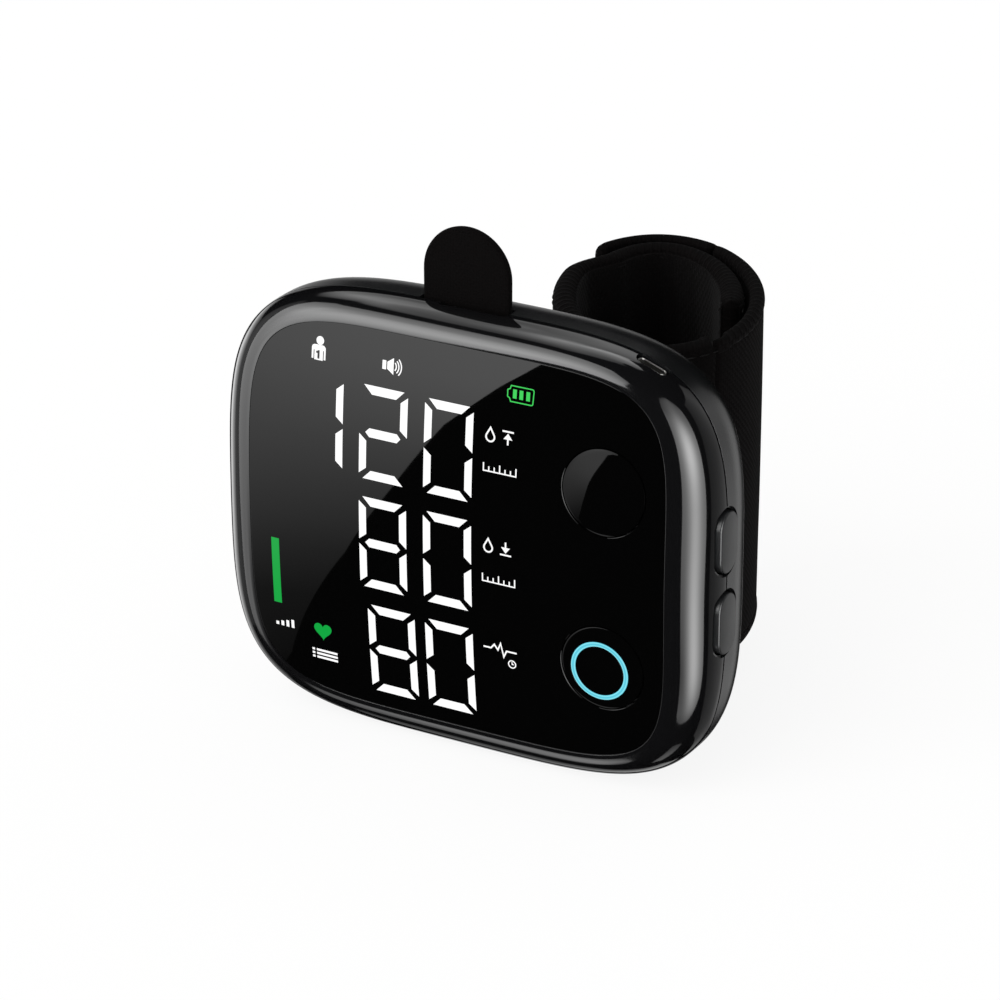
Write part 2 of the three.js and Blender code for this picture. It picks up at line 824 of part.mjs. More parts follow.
// Side keys: capsule cap, flange inside the lip and a small upright board with two switches
const sideFlangeFront = lipInner - gap;
const sideCapEnd = sideFlangeFront - sideFlangeThickness;
const sideBevel = 0.4;
const keyBoardGap = gap;
const keyBoardLeft = boardRight + keyBoardGap;
const keyBoardThickness = 1;
const keyBoardHalf = 14;
const keyBoardWidth = 5.2;
const sideSwitchLeft = keyBoardLeft + keyBoardThickness + seat;
const sidePlungerEnd = sideCapEnd - sideKeyTravel - seat;
const sideSwitchHeight = 2;

sideKeys.forEach((z, i) => {
  const outline = capsuleOutline(sideKeyWidth / 2 - sideBevel, sideKeyHeight / 2 - sideBevel);
  const cap = new THREE.ExtrudeGeometry(outline, {
    depth: sideFace - sideCapEnd - 2 * sideBevel,
    bevelSize: sideBevel,
    bevelThickness: sideBevel,
    bevelSegments: 1,
    curveSegments: 5,
  });
  cap.rotateX(Math.PI / 2);
  cap.rotateZ(Math.PI / 2);
  cap.translate(sideCapEnd + sideBevel, seamDepth, z);
  const flange = sideCapsuleAt(sideFlange, sideCapEnd, sideFlangeFront, z);
  const name = i === 0 ? 'side_button_upper' : 'side_button_lower';
  addPiece(name, join(solid(cap), flange), 0x232427, 0.32);
  const half = switchSize / 2;
  const switchRight = sideSwitchLeft + sideSwitchHeight;
  addPiece(`key_switch_${i + 3}`, switchBody(
    cylinderAlong('x', plungerRadius, switchRight - seat, sidePlungerEnd, [seamDepth, z], 12),
    boxAt([sideSwitchLeft, seamDepth - half, z - half], [switchRight, seamDepth + half, z + half]),
  ), 0x9a9a9a, 0.4, 0.6);
});
addPiece('side_key_board', boxAt(
  [keyBoardLeft, boardFront, -keyBoardHalf],
  [keyBoardLeft + keyBoardThickness, boardFront + keyBoardWidth, keyBoardHalf],
), 0x0f4a2c, 0.6);

// Air pump: motor can, shaft with eccentric, head and outlet cap
const pumpY = 12.9;
const pumpRise = 13;
const pumpZ = boardLow + pumpRise;
const motorRadius = 5.3;
const motorLength = 16;
const motorInset = 4.6;
const motorLeft = boardLeft + motorInset;
const motorRight = motorLeft + motorLength;
const headLength = 10.6;
const headHalf = 5.3;
const headLeft = motorRight + gap;
const headRight = headLeft + headLength;
const chamberRadius = 3.7;
const chamberDepth = 5;
const shaftRadius = 0.9;
const shaftLength = 3.2;
const crankRadius = 2.2;
const crankOffset = 0.7;
const crankSetback = 1.4;
const crankLeft = headLeft + crankSetback;
const crankLength = 2.4;
const nozzleRadius = 1;
const pumpAxis = [pumpY, pumpZ];
const crankAxis = [pumpY + crankOffset, pumpZ];
const shaftLeft = motorRight - shaftLength;
addPiece('pump_motor', cut(
  solid(cylinderAlong('x', motorRadius, motorLeft, motorRight, pumpAxis, 24)),
  solid(cylinderAlong('x', shaftRadius + gap, shaftLeft - gap, motorRight + overrun, pumpAxis, 16)),
), 0xb4b7ba, 0.3, 1);
addPiece('pump_crank', join(
  solid(cylinderAlong('x', shaftRadius, shaftLeft, crankLeft + crankLength / 2, pumpAxis, 16)),
  solid(cylinderAlong('x', crankRadius, crankLeft, crankLeft + crankLength, crankAxis, 20)),
), 0xd8d8d6, 0.5);
addPiece('pump_head', cut(
  solid(boxAt(
    [headLeft, pumpY - headHalf, pumpZ - headHalf],
    [headRight, pumpY + headHalf, pumpZ + headHalf],
  )),
  solid(cylinderAlong('x', chamberRadius, headLeft - overrun, headLeft + chamberDepth, pumpAxis, 24)),
), 0x2b2d30, 0.6);
const outletLeft = headRight + gap;
const outletThickness = 1.6;
const nozzleLength = 2.2;
const outletRight = outletLeft + outletThickness;
const outletEnd = outletRight + nozzleLength;
const outletMiddle = mix(outletLeft, outletRight, 0.5);
addPiece('pump_outlet_cap', join(
  solid(cylinderAlong('x', headHalf - gap, outletLeft, outletRight, pumpAxis, 20)),
  solid(cylinderAlong('x', nozzleRadius, outletMiddle, outletEnd, pumpAxis, 12)),
), 0x3a3c40, 0.6);

// Manifold, pressure sensor and vent valve
const pumpHoseLength = 2.9;
const manifoldRadius = 2;
const manifoldBelow = 4;
const manifoldAbove = 7;
const manifoldLow = pumpZ - manifoldBelow;
const manifoldHigh = pumpZ + manifoldAbove;
const manifoldNozzle = 1.5;
const sideNozzleEnd = outletEnd + pumpHoseLength + 2 * gap;
const manifoldX = sideNozzleEnd + manifoldNozzle + manifoldRadius;
addPiece('air_manifold', join(
  solid(cylinderAlong('z', manifoldRadius, manifoldLow, manifoldHigh, [manifoldX, pumpY], 16)),
  solid(cylinderAlong('x', nozzleRadius, sideNozzleEnd, manifoldX, pumpAxis, 12)),
), 0xc9c9c4, 0.5);
const sensorHalf = 3.5;
const sensorHeight = 2.8;
const sensorRise = 3;
const sensorZ = pumpZ + sensorRise;
const sensorX = manifoldX + manifoldRadius - sensorHalf;
const sensorFront = boardBack + seat;
const sensorPlace = [manifoldX, sensorZ];
const sensorMiddle = sensorFront + sensorHeight / 2;
addPiece('pressure_sensor', join(
  solid(boxAt(
    [sensorX - sensorHalf, sensorFront, sensorZ - sensorHalf],
    [sensorX + sensorHalf, sensorFront + sensorHeight, sensorZ + sensorHalf],
  )),
  solid(cylinderAlong('y', nozzleRadius, sensorMiddle, pumpY - manifoldRadius - gap, sensorPlace, 12)),
), 0xe8e6e0, 0.5);
const valveLeft = manifoldX + manifoldRadius + gap;
const valveLength = 9;
const valveHalf = 4;
const valveDrop = 1;
const valveZ = pumpZ - valveDrop;
const plungerBore = 1.8;
const valvePlungerRadius = 1.5;
const boreDepth = 5;
const plungerInside = 3.6;
const plungerOutside = 2.4;
const valveRight = valveLeft + valveLength;
const valveAxis = [pumpY, valveZ];
addPiece('valve_body', cut(
  solid(boxAt(
    [valveLeft, pumpY - valveHalf, valveZ - valveHalf],
    [valveRight, pumpY + valveHalf, valveZ + valveHalf],
  )),
  solid(cylinderAlong('x', plungerBore, valveRight - boreDepth, valveRight + overrun, valveAxis, 16)),
), 0x44474b, 0.45, 0.4);
addPiece('valve_plunger', cylinderAlong(
  'x',
  valvePlungerRadius,
  valveRight - plungerInside,
  valveRight + plungerOutside,
  valveAxis,
  16,
), 0xc4c6c8, 0.3, 1);

// Hoses: annular tubes end to end with their nozzles
const hoseRadius = 1.7;
const hoseBore = 0.9;

function hose(points, steps) {
  const ring = new THREE.Shape();
  ring.absarc(0, 0, hoseRadius, 0, 2 * Math.PI, false);
  const bore = new THREE.Path();
  bore.absarc(0, 0, hoseBore, 0, 2 * Math.PI, true);
  ring.holes.push(bore);
  const path = new THREE.CatmullRomCurve3(points.map((p) => new THREE.Vector3(...p)));
  return new THREE.ExtrudeGeometry(ring, {
    steps,
    extrudePath: path,
    curveSegments: 4,
    bevelEnabled: false,
  });
}

const nippleFlangeThickness = 1.2;
const nippleFront = floorDepth - nippleFlangeThickness - seat;
const barbLength = 2;
const barbEnd = nippleFront - barbLength;
addPiece('pump_hose', hose([
  [outletEnd + gap, pumpY, pumpZ],
  [mix(outletEnd + gap, sideNozzleEnd - gap, 0.5), pumpY, pumpZ],
  [sideNozzleEnd - gap, pumpY, pumpZ],
], 3), 0xdadcd8, 0.5);
const hoseTop = manifoldHigh + gap;
const bendDepth = boardBack + 2 * hoseRadius;
addPiece('cuff_hose', hose([
  [manifoldX, pumpY, hoseTop],
  [manifoldX, pumpY - seat, mix(hoseTop, nippleZ, 0.3)],
  [mix(manifoldX, nippleX, 0.3), mix(pumpY, bendDepth, 0.7), mix(hoseTop, nippleZ, 0.75)],
  [mix(manifoldX, nippleX, 0.75), bendDepth, mix(hoseTop, nippleZ, 0.95)],
  [nippleX, mix(bendDepth, barbEnd, 0.45), nippleZ],
  [nippleX, barbEnd - gap, nippleZ],
], 14), 0xdadcd8, 0.5);

// Battery, speaker and charging socket
const batteryBack = floorDepth - gap;
addPiece('battery', boxAt(
  [batteryLeft, batteryBack - batteryThickness, batteryLow],
  [batteryRight, batteryBack, batteryHigh],
), 0xb9bcc0, 0.4, 0.5);
const speakerDepth = 4;
const speakerBack = floorDepth - seat;
const magnetRadius = 4.5;
addPiece('speaker', turned([
  [0, speakerBack - speakerDepth],
  [magnetRadius, speakerBack - speakerDepth],
  [magnetRadius, speakerBack - speakerDepth / 2],
  [speakerRadius, speakerBack - speakerDepth / 4],
  [speakerRadius, speakerBack],
  [0, speakerBack],
], [speakerX, speakerZ], 24), 0x3c3e42, 0.5);
const socketShell = solid(plateFrom(portOutline(0), portDepth));
const socketMouth = plateFrom(portOutline(-portWall), portDepth);
socketMouth.translate(0, 0, portWall);
const bladeHalf = portWidth / 2 - 3 * portWall;
const blade = boxAt([-bladeHalf, -portWall, 0], [bladeHalf, portWall, portDepth - portWall]);
const socket = geometryOf(join(cut(socketShell, solid(socketMouth)), solid(blade)));
socket.translate(0, 0, -portDepth - portSink);
addPiece('charge_socket', atPort(socket), 0xaeb1b4, 0.25, 1);

// Wall of the band between two angles, its insets given by functions of the angle
function bandWall(from, to, outer, inner, steps, trim = 0) {
  const out = [];
  const back = [];
  for (let k = 0; k <= steps; k += 1) {
    const degrees = mix(from, to, k / steps);
    out.push(loopPoint(degrees, outer(degrees)));
    back.unshift(loopPoint(degrees, inner(degrees)));
  }
  const geometry = plateFrom(new THREE.Shape([...out, ...back]), bandHeight - 2 * trim);
  geometry.translate(0, 0, bandBottom + trim);
  return geometry;
}

// Angles on the oval: the wrap runs from the front right, round the left and back
const wrapStart = 308;
const wrapEnd = -10;
const wrapSteps = 46;
const hingeAngle = -50;
const peelAngle = 60;
const freeAngle = 130;
const settleAngle = 158;
const panelSteps = 16;
const freeSteps = 10;
const endMargin = 1;
const overlapInset = flapThickness + hookThickness + 2 * layerGap;

function wrapInset(degrees) {
  const share = THREE.MathUtils.smoothstep(degrees, freeAngle + 3 * endMargin, settleAngle);
  return overlapInset * (1 - share);
}

function layer(startInset, thickness) {
  return bandWall(
    wrapEnd,
    wrapStart,
    (degrees) => wrapInset(degrees) + startInset,
    (degrees) => wrapInset(degrees) + startInset + thickness,
    wrapSteps,
  );
}

const curlerInset = coverThickness + layerGap;
const bladderInset = curlerInset + curlerThickness + layerGap;
const liningInset = bladderInset + bladderThickness + layerGap;
const nippleBack = loopPoint(frontAngle, curlerInset + curlerThickness).y;
const nipplePlace = [nippleX, nippleZ];
const airHoleRadius = nippleRadius + gap;
const airHole = solid(cylinderAlong('y', airHoleRadius, floorDepth, nippleBack + seat, nipplePlace, 16));
addPiece('cuff_cover', cut(solid(layer(0, coverThickness)), airHole), 0x050404, 0.95);
addPiece('cuff_curler', cut(solid(layer(curlerInset, curlerThickness)), airHole), 0xd9dcdd, 0.4);
addPiece('cuff_bladder', layer(bladderInset, bladderThickness), 0x33363a, 0.6);
addPiece('cuff_lining', layer(liningInset, liningThickness), 0x101010, 0.95);

const flapOuter = () => 0;
const flapInner = () => flapThickness;
addPiece(
  'cuff_side_panel',
  bandWall(hingeAngle + endMargin, peelAngle - endMargin / 2, flapOuter, flapInner, panelSteps),
  0x050404,
  0.95,
);
addPiece(
  'cuff_free_end',
  bandWall(peelAngle + endMargin / 2, freeAngle, flapOuter, flapInner, freeSteps),
  0x050404,
  0.95,
);
const hookInset = flapThickness + seat;
addPiece('hook_patch', bandWall(
  peelAngle + 5 * endMargin,
  freeAngle - 3 * endMargin,
  () => hookInset,
  () => hookInset + hookThickness - seat,
  freeSteps,
  5 * hookThickness,
), 0x1a1a1c, 1);

// Saddle between the housing and the cuff, hollowed to the cuff's oval
const saddleHalfWidth = 13.5;
const saddleHalfHeight = 20;
const saddleCorner = 4;
const saddleFront = backDepth + seat;
const saddleDepth = 6.4;
const saddlePilotDepth = 2.2;
const saddleBack = saddleFront + saddleDepth;
const saddleOutline = roundedOutline(saddleHalfWidth, saddleHalfHeight, saddleCorner);
const saddleBlock = standing(saddleOutline, saddleFront, saddleBack, 4);
saddleBlock.translate(nippleX, 0, -girthDrop);
const saddleHollow = plateFrom(new THREE.Shape(Array.from({ length: wrapSteps }, (_, k) => (
  loopPoint((360 * k) / wrapSteps, -gap)
))), bandHeight);
saddleHollow.translate(0, 0, bandBottom);
const saddlePilotEnd = saddleFront + saddlePilotDepth;
const saddlePilots = saddleScrews.map((centre) => (
  solid(cylinderAlong('y', screwClearance, saddleFront - overrun, saddlePilotEnd, centre, 12))
));
addPiece('cuff_saddle', cut(
  solid(saddleBlock),
  solid(saddleHollow),
  solid(cylinderAlong('y', airHoleRadius, saddleFront - overrun, saddleBack, nipplePlace, 16)),
  ...saddlePilots,
), 0x121315, 0.5);
saddleScrews.forEach((centre, i) => {
  addPiece(`saddle_screw_${i + 1}`, turned([
    [0, floorDepth - seat - screwHeadHeight],
    [screwHeadRadius, floorDepth - seat - screwHeadHeight],
    [screwHeadRadius, floorDepth - seat],
    [screwRadius, floorDepth - seat],
    [screwRadius, saddlePilotEnd - gap],
    [0, saddlePilotEnd - gap],
  ], centre, 12), 0x8d9094, 0.35, 1);
});

// Air nipple from the hose through the back, the saddle and the cover
addPiece('air_nipple', cut(
  solid(turned([
    [0, barbEnd],
    [nozzleRadius + seat, barbEnd],
    [nozzleRadius + seat, nippleFront],
    [nippleFlange, nippleFront],
    [nippleFlange, nippleFront + nippleFlangeThickness],
    [nippleRadius, nippleFront + nippleFlangeThickness],
    [nippleRadius, nippleBack],
    [0, nippleBack],
  ], nipplePlace, 16)),
  solid(cylinderAlong('y', nozzleRadius / 2, barbEnd - overrun, nippleBack + overrun, nipplePlace, 10)),
), 0x2b2d30, 0.5);

export default device;
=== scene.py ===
# Wrist blood pressure monitor: a rounded glossy housing with a lit display and four keys,
# and a cloth cuff that wraps behind it. Lengths are millimetres from the middle of the
# lens face (X right, Y away from the viewer, Z up) and become metres when a mesh is made.
import itertools
import math

import bmesh
import bpy
from mathutils import Matrix, Vector
from mathutils.bvhtree import BVHTree
from mathutils.interpolate import poly_3d_calc


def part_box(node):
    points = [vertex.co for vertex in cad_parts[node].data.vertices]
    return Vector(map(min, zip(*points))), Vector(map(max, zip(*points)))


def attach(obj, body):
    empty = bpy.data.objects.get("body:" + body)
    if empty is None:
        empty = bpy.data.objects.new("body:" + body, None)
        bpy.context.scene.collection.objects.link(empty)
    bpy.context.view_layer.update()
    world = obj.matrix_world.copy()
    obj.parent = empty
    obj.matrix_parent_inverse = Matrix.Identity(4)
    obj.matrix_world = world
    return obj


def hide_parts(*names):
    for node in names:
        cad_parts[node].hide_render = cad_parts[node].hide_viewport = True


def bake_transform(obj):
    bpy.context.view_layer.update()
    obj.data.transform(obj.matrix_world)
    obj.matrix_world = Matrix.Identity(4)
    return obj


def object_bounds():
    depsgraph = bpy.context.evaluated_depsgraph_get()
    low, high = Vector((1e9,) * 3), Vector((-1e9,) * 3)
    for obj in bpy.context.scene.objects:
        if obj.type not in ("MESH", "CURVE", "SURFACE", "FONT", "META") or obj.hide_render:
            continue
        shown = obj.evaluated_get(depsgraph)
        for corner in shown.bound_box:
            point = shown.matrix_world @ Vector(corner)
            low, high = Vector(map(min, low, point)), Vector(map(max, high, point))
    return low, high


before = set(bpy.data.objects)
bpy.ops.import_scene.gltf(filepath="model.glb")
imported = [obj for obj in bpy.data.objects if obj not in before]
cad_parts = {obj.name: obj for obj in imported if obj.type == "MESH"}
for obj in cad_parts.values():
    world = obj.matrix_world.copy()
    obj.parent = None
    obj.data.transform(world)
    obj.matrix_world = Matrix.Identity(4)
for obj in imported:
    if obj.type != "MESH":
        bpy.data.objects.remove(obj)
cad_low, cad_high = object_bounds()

# Camera: it stands to the right and above, and looks down at the display through a long
# lens, so that the right flank and the top of the housing show beside the face.
camera_data = bpy.data.cameras.new("camera")
camera_data.sensor_width = 36
camera_data.lens = 157.93
camera_data.clip_start = 0.01
camera = bpy.data.objects.new("camera", camera_data)
camera_place = Vector((0.30516, -0.53333, 0.30735))
camera_right = Vector((0.87001, 0.49303, 0)).normalized()
camera_up = Vector((-0.19684, 0.34734, 0.91685)).normalized()
camera_axes = Matrix((camera_right, camera_up, camera_right.cross(camera_up))).transposed()
camera.matrix_world = Matrix.Translation(camera_place) @ camera_axes.to_4x4()
bpy.context.collection.objects.link(camera)
bpy.context.scene.camera = camera
bpy.context.scene.view_settings.view_transform = "Standard"

# Floor: a sheet of pale matt paper, wide enough to fill the view. Most of its white is
# paper white for the camera, the rest is lit, so the object keeps a faint soft shadow.
def linear(code):
    """Linear colour of an sRGB hex code."""
    shares = [int(code[i:i + 2], 16) / 255 for i in (1, 3, 5)]
    return [s / 12.92 if s <= 0.04045 else ((s + 0.055) / 1.055) ** 2.4 for s in shares] + [1]


def add(tree, kind, sockets=None, **settings):
    """Add a node, set its properties, and give each socket a value or a link."""
    node = tree.nodes.new(kind)
    for name, value in settings.items():
        setattr(node, name, value)
    for name, value in (sockets or {}).items():
        if isinstance(value, bpy.types.NodeSocket):
            tree.links.new(value, node.inputs[name])
        else:
            node.inputs[name].default_value = value
    return node


def new_material(name):
    """An empty node material and its tree."""
    made = bpy.data.materials.new(name)
    made.use_nodes = True
    made.node_tree.nodes.clear()
    return made, made.node_tree


def new_object(name, points, faces, finish=None):
    """A mesh object at the origin, from points in metres."""
    mesh = bpy.data.meshes.new(name)
    mesh.from_pydata([tuple(point) for point in points], [], faces)
    if finish:
        mesh.materials.append(finish)
    made = bpy.data.objects.new(name, mesh)
    bpy.context.collection.objects.link(made)
    return made


paper_white, tree = new_material("paper_white")
paper = add(tree, "ShaderNodeBsdfDiffuse", {"Color": linear("#F6F6F5")})
glow = add(tree, "ShaderNodeEmission", {"Color": linear("#FFFFFF"), "Strength": 1.0})
path = add(tree, "ShaderNodeLightPath")
white_share = 0.88
seen = add(
    tree, "ShaderNodeMath", {0: path.outputs["Is Camera Ray"], 1: white_share}, operation="MULTIPLY"
)
shade = add(
    tree, "ShaderNodeMixShader", {0: seen.outputs[0], 1: paper.outputs[0], 2: glow.outputs[0]}
)
add(tree, "ShaderNodeOutputMaterial", {"Surface": shade.outputs[0]})
floor_half = 4.0
floor_drop = 0.0002
floor_corners = [
    (x * floor_half, y * floor_half, -floor_drop) for x, y in ((-1, -1), (1, -1), (1, 1), (-1, 1))
]
floor = new_object("floor", floor_corners, [(0, 1, 2, 3)], paper_white)
floor.visible_glossy = False

# Surround: white walls for the camera, and an even soft light from all sides.
world = bpy.data.worlds.new("white_surround")
world.use_nodes = True
world.node_tree.nodes.clear()
tree = world.node_tree
path = add(tree, "ShaderNodeLightPath")
seen = add(
    tree, "ShaderNodeMath",
    {0: path.outputs["Is Camera Ray"], 1: path.outputs["Is Glossy Ray"]}, operation="MAXIMUM",
)
seen = add(
    tree, "ShaderNodeMath",
    {0: seen.outputs[0], 1: path.outputs["Is Transmission Ray"]}, operation="MAXIMUM",
)
ambient = add(tree, "ShaderNodeBackground", {"Color": linear("#FFFFFF"), "Strength": 0.7})
white = add(tree, "ShaderNodeBackground", {"Color": linear("#FFFFFF"), "Strength": 1.0})
shade = add(
    tree, "ShaderNodeMixShader", {0: seen.outputs[0], 1: ambient.outputs[0], 2: white.outputs[0]}
)
add(tree, "ShaderNodeOutputWorld", {"Surface": shade.outputs[0]})
bpy.context.scene.world = world

# Key light: a very large soft source, high in front and to the left, so that the shadow
# falls behind the object to the right. The cards below are what the gloss mirrors.
key_data = bpy.data.lights.new("key_light", "SUN")
key_data.energy = 2.4
key_data.angle = math.radians(60)
key = bpy.data.objects.new("key_light", key_data)
key.rotation_euler = (math.radians(58), 0, math.radians(-10))
key.visible_glossy = False
bpy.context.collection.objects.link(key)

# Black tent and softboxes: a glossy black object is lit by what it mirrors. A dark cloth
# tent stands all round, and each softbox is a curved white panel inside it. Only mirror
# rays meet them. Directions are degrees to the right of straight in front, and up.
subject = (cad_low + cad_high) / 2
tent_radius = 1.5
softbox_radius = 1.2
softbox_steps = 48
softbox_rows = 4


def mix(a, b, share):
    """What lies a share of the way from a to b."""
    return a + (b - a) * share


def towards(azimuth, elevation):
    """Unit vector from the object to a direction."""
    turn = math.radians(azimuth)
    rise = math.radians(elevation)
    return Vector((math.sin(turn) * math.cos(rise), -math.cos(turn) * math.cos(rise), math.sin(rise)))


def mirrored_only(panel):
    """Let only mirror rays meet a panel, which is part of the studio."""
    panel.visible_camera = False
    panel.visible_diffuse = False
    panel.visible_transmission = False
    panel.visible_volume_scatter = False
    panel.visible_shadow = False


def level_along(levels, share):
    """Level of light part of the way along a row."""
    place = share * (len(levels) - 1)
    i = min(int(place), len(levels) - 2)
    return mix(levels[i], levels[i + 1], place - i)


def softbox(name, rows, spots=()):
    """Curved panel. A row is its elevation, its left and right ends, and its light from left
    to right. A hot spot is an azimuth, an elevation, a width, a height and extra light."""
    fine = [
        (here, there, k / softbox_rows)
        for here, there in zip(rows, rows[1:])
        for k in range(softbox_rows)
    ]
    fine.append((rows[-1], rows[-1], 0))
    points = []
    levels = []
    for here, there, share in fine:
        elevation, left, right = (mix(here[i], there[i], share) for i in range(3))
        for k in range(softbox_steps + 1):
            along = k / softbox_steps
            azimuth = mix(left, right, along)
            level = mix(level_along(here[3], along), level_along(there[3], along), share)
            for middle, rise, width, height, extra in spots:
                across = (azimuth - middle) / width
                upwards = (elevation - rise) / height
                level += extra * math.exp(-across ** 2 - upwards ** 2)
            points.append(subject + towards(azimuth, elevation) * softbox_radius)
            levels.append(level)
    count = softbox_steps + 1
    faces = [
        (r * count + k, r * count + k + 1, (r + 1) * count + k + 1, (r + 1) * count + k)
        for r in range(len(fine) - 1) for k in range(softbox_steps)
    ]
    panel = new_object(name, points, faces, softbox_cloth)
    glow_level = panel.data.attributes.new("glow_level", "FLOAT", "POINT")
    glow_level.data.foreach_set("value", levels)
    mirrored_only(panel)


softbox_cloth, tree = new_material("softbox_cloth")
level = add(tree, "ShaderNodeAttribute", attribute_name="glow_level")
glow = add(tree, "ShaderNodeEmission", {"Color": linear("#FFFFFF"), "Strength": level.outputs["Fac"]})
add(tree, "ShaderNodeOutputMaterial", {"Surface": glow.outputs[0]})
black_velvet, tree = new_material("black_velvet")
glow = add(tree, "ShaderNodeEmission", {"Color": linear("#000000"), "Strength": 0.0})
add(tree, "ShaderNodeOutputMaterial", {"Surface": glow.outputs[0]})

tent = new_object("black_tent", [], [], None)
shape = bmesh.new()
bmesh.ops.create_icosphere(shape, subdivisions=3, radius=tent_radius)
bmesh.ops.translate(shape, verts=shape.verts, vec=subject)
shape.to_mesh(tent.data)
shape.free()
tent.data.materials.append(black_velvet)
mirrored_only(tent)

softbox("window_softbox", [
    (50, -76, -14, (1.8, 2.2, 2.0, 2.6, 2.9)),
    (44, -86, -10, (2.0, 3.0, 2.9, 2.8, 3.2, 2.4)),
    (36, -86, -5, (2.8, 3.9, 6.0, 3.6, 3.8, 2.0)),
    (28, -82, -8, (3.4, 4.0, 6.6, 6.4, 5.0, 3.0)),
    (20, -77, -11, (3.0, 3.5, 5.6, 7.2, 6.6, 4.2)),
    (12, -74, -13, (3.0, 3.3, 4.6, 6.2, 7.6, 4.2)),
    (4, -71, -17.5, (3.0, 3.0, 3.8, 5.3, 6.6, 5.6)),
    (-6, -70, -23.5, (2.9, 2.8, 3.0, 3.4, 4.9, 5.6)),
    (-10, -70, -26, (2.7, 2.6, 2.8, 3.0, 4.2, 5.0)),
    (-14, -70, -28.2, (2.5, 2.5, 2.6, 2.7, 3.3, 3.7)),
    (-17, -70, -29.5, (2.3, 2.3, 2.3, 2.4, 2.8, 2.6)),
    (-20, -70, -30.8, (2.0, 2.1, 2.1, 2.2, 2.3, 1.8)),
    (-26, -68, -33.8, (1.9, 1.7, 1.7, 1.9, 1.2, 0.7)),
    (-30, -67, -36.2, (1.8, 1.6, 1.6, 1.9, 0.45, 0.3)),
    (-35, -65, -39.2, (1.4, 1.4, 1.6, 1.8, 0.35, 0.15)),
    (-37, -62, -41, (0.6, 0.8, 0.9, 0.9, 0.2, 0.05)),
])
softbox("left_wall_softbox", [
    (40, -98, -88, (0.2, 0.3)),
    (26, -97, -83.5, (0.25, 0.35, 0.45)),
    (12, -96, -75.5, (0.2, 0.35, 0.5, 0.5)),
    (0, -87, -71.5, (0.45, 0.5, 0.6)),
    (-18, -84, -71, (0.5, 0.4, 0.4)),
    (-36, -84, -67, (0.2, 0.2, 0.2)),
])
softbox("left_rear_softbox", [
    (10, -128, -97, (0.3, 0.6, 0.3)),
    (4, -130, -91, (0.4, 1.2, 1.4, 1.2, 0.4)),
    (0, -131, -88, (0.9, 2.2, 2.4, 2.0, 1.5, 0.5)),
    (-4, -119, -86, (0.5, 3.2, 2.6, 1.6, 0.7)),
    (-10, -118, -85, (0.4, 3.4, 2.4, 1.6, 0.6)),
    (-18, -116, -85, (0.5, 3.5, 2.1, 1.5, 0.6)),
    (-24, -121, -85, (0.4, 2.3, 1.9, 1.1, 0.3)),
    (-32, -126, -85, (0.4, 1.3, 1.5, 1.0, 0.3)),
    (-40, -130, -85, (0.4, 0.7, 0.7, 0.5, 0.2)),
    (-50, -134, -85, (0.3, 0.3, 0.3, 0.3, 0.2)),
])
softbox("rim_softbox", [
    (10, -160, -134, (0.2, 0.2, 0.2)),
    (-8, -168, -134, (0.4, 0.5, 0.5)),
    (-16, -160, -133, (0.5, 0.8, 1.3)),
    (-24, -165, -138, (0.5, 0.5, 0.5)),
    (-34, -166, -140, (0.3, 0.9, 1.2)),
    (-42, -168, -140, (0.5, 0.4, 1.8)),
    (-50, -170, -136, (0.1, 0.1, 0.8)),
])
softbox("right_softbox", [
    (52, 46, 56, (0.3, 0.9, 0.4)),
    (50, 40, 62, (0.3, 1.2, 0.5)),
    (46, 32, 70, (0.6, 1.2, 1.4, 0.6)),
    (40, 27, 75, (0.7, 1.1, 1.2, 1.6)),
    (30, 22, 77, (0.8, 0.8, 1.2, 1.8)),
    (20, 20, 78, (1.6, 1.0, 1.6, 2.4)),
    (0, 20, 78, (2.4, 1.6, 2.0, 2.6)),
    (-20, 20, 79, (2.0, 1.0, 1.6, 2.4)),
    (-32, 21, 79, (0.8, 1.0, 1.6, 2.0)),
    (-38, 20, 76, (1.2, 1.0, 1.2, 1.6)),
    (-42, 20, 70, (1.4, 1.2, 1.2, 1.4)),
    (-45, 24, 64, (1.0, 1.0, 0.9, 0.8)),
    (-47, 31, 57, (1.0, 1.0, 0.9, 0.8)),
    (-48, 38, 50, (0.9, 0.9, 0.8, 0.8)),
], ((50, 4, 17, 23, 9.4), (54, -30, 16, 12, 6.3)))
softbox("overhead_softbox", [
    (86, -220, -30, (0.5, 1.5, 1.5, 0.8, 0.3)),
    (80, -216, -44, (1.6, 2.2, 2.4, 2.3, 1.8, 1.1, 0.8)),
    (74, -178, -44, (3.6, 4.2, 3.4, 2.6, 2.0, 1.2, 0.8)),
    (70, -168, -46, (3.0, 4.8, 5.0, 3.2, 2.3, 1.5, 0.8)),
    (67, -180, -46, (1.0, 1.0, 1.4, 4.2, 2.5, 1.4, 0.8)),
    (62, -180, -46, (1.3, 1.4, 1.3, 1.4, 0.9, 0.7, 0.5)),
    (55, -178, -96, (1.5, 1.6, 1.0, 2.8, 0.6)),
    (47, -176, -106, (1.5, 1.5, 0.8, 2.6, 0.5)),
    (40, -172, -112, (1.2, 1.4, 0.5, 1.6, 0.1)),
    (34, -146, -124, (0.2, 0.8, 1.4, 0.3)),
])
softbox("low_front_softbox", [
    (-42, -44, -27, (0.8, 1.8, 2.4, 1.2)),
    (-46, -52, -26, (0.9, 1.6, 2.8, 2.8, 1.3)),
    (-52, -60, -25, (0.9, 1.1, 1.8, 3.4, 1.5)),
    (-58, -52, -24, (0.3, 1.8, 3.2, 1.7, 1.4)),
    (-64, -50, -30, (0.2, 0.6, 0.3)),
])
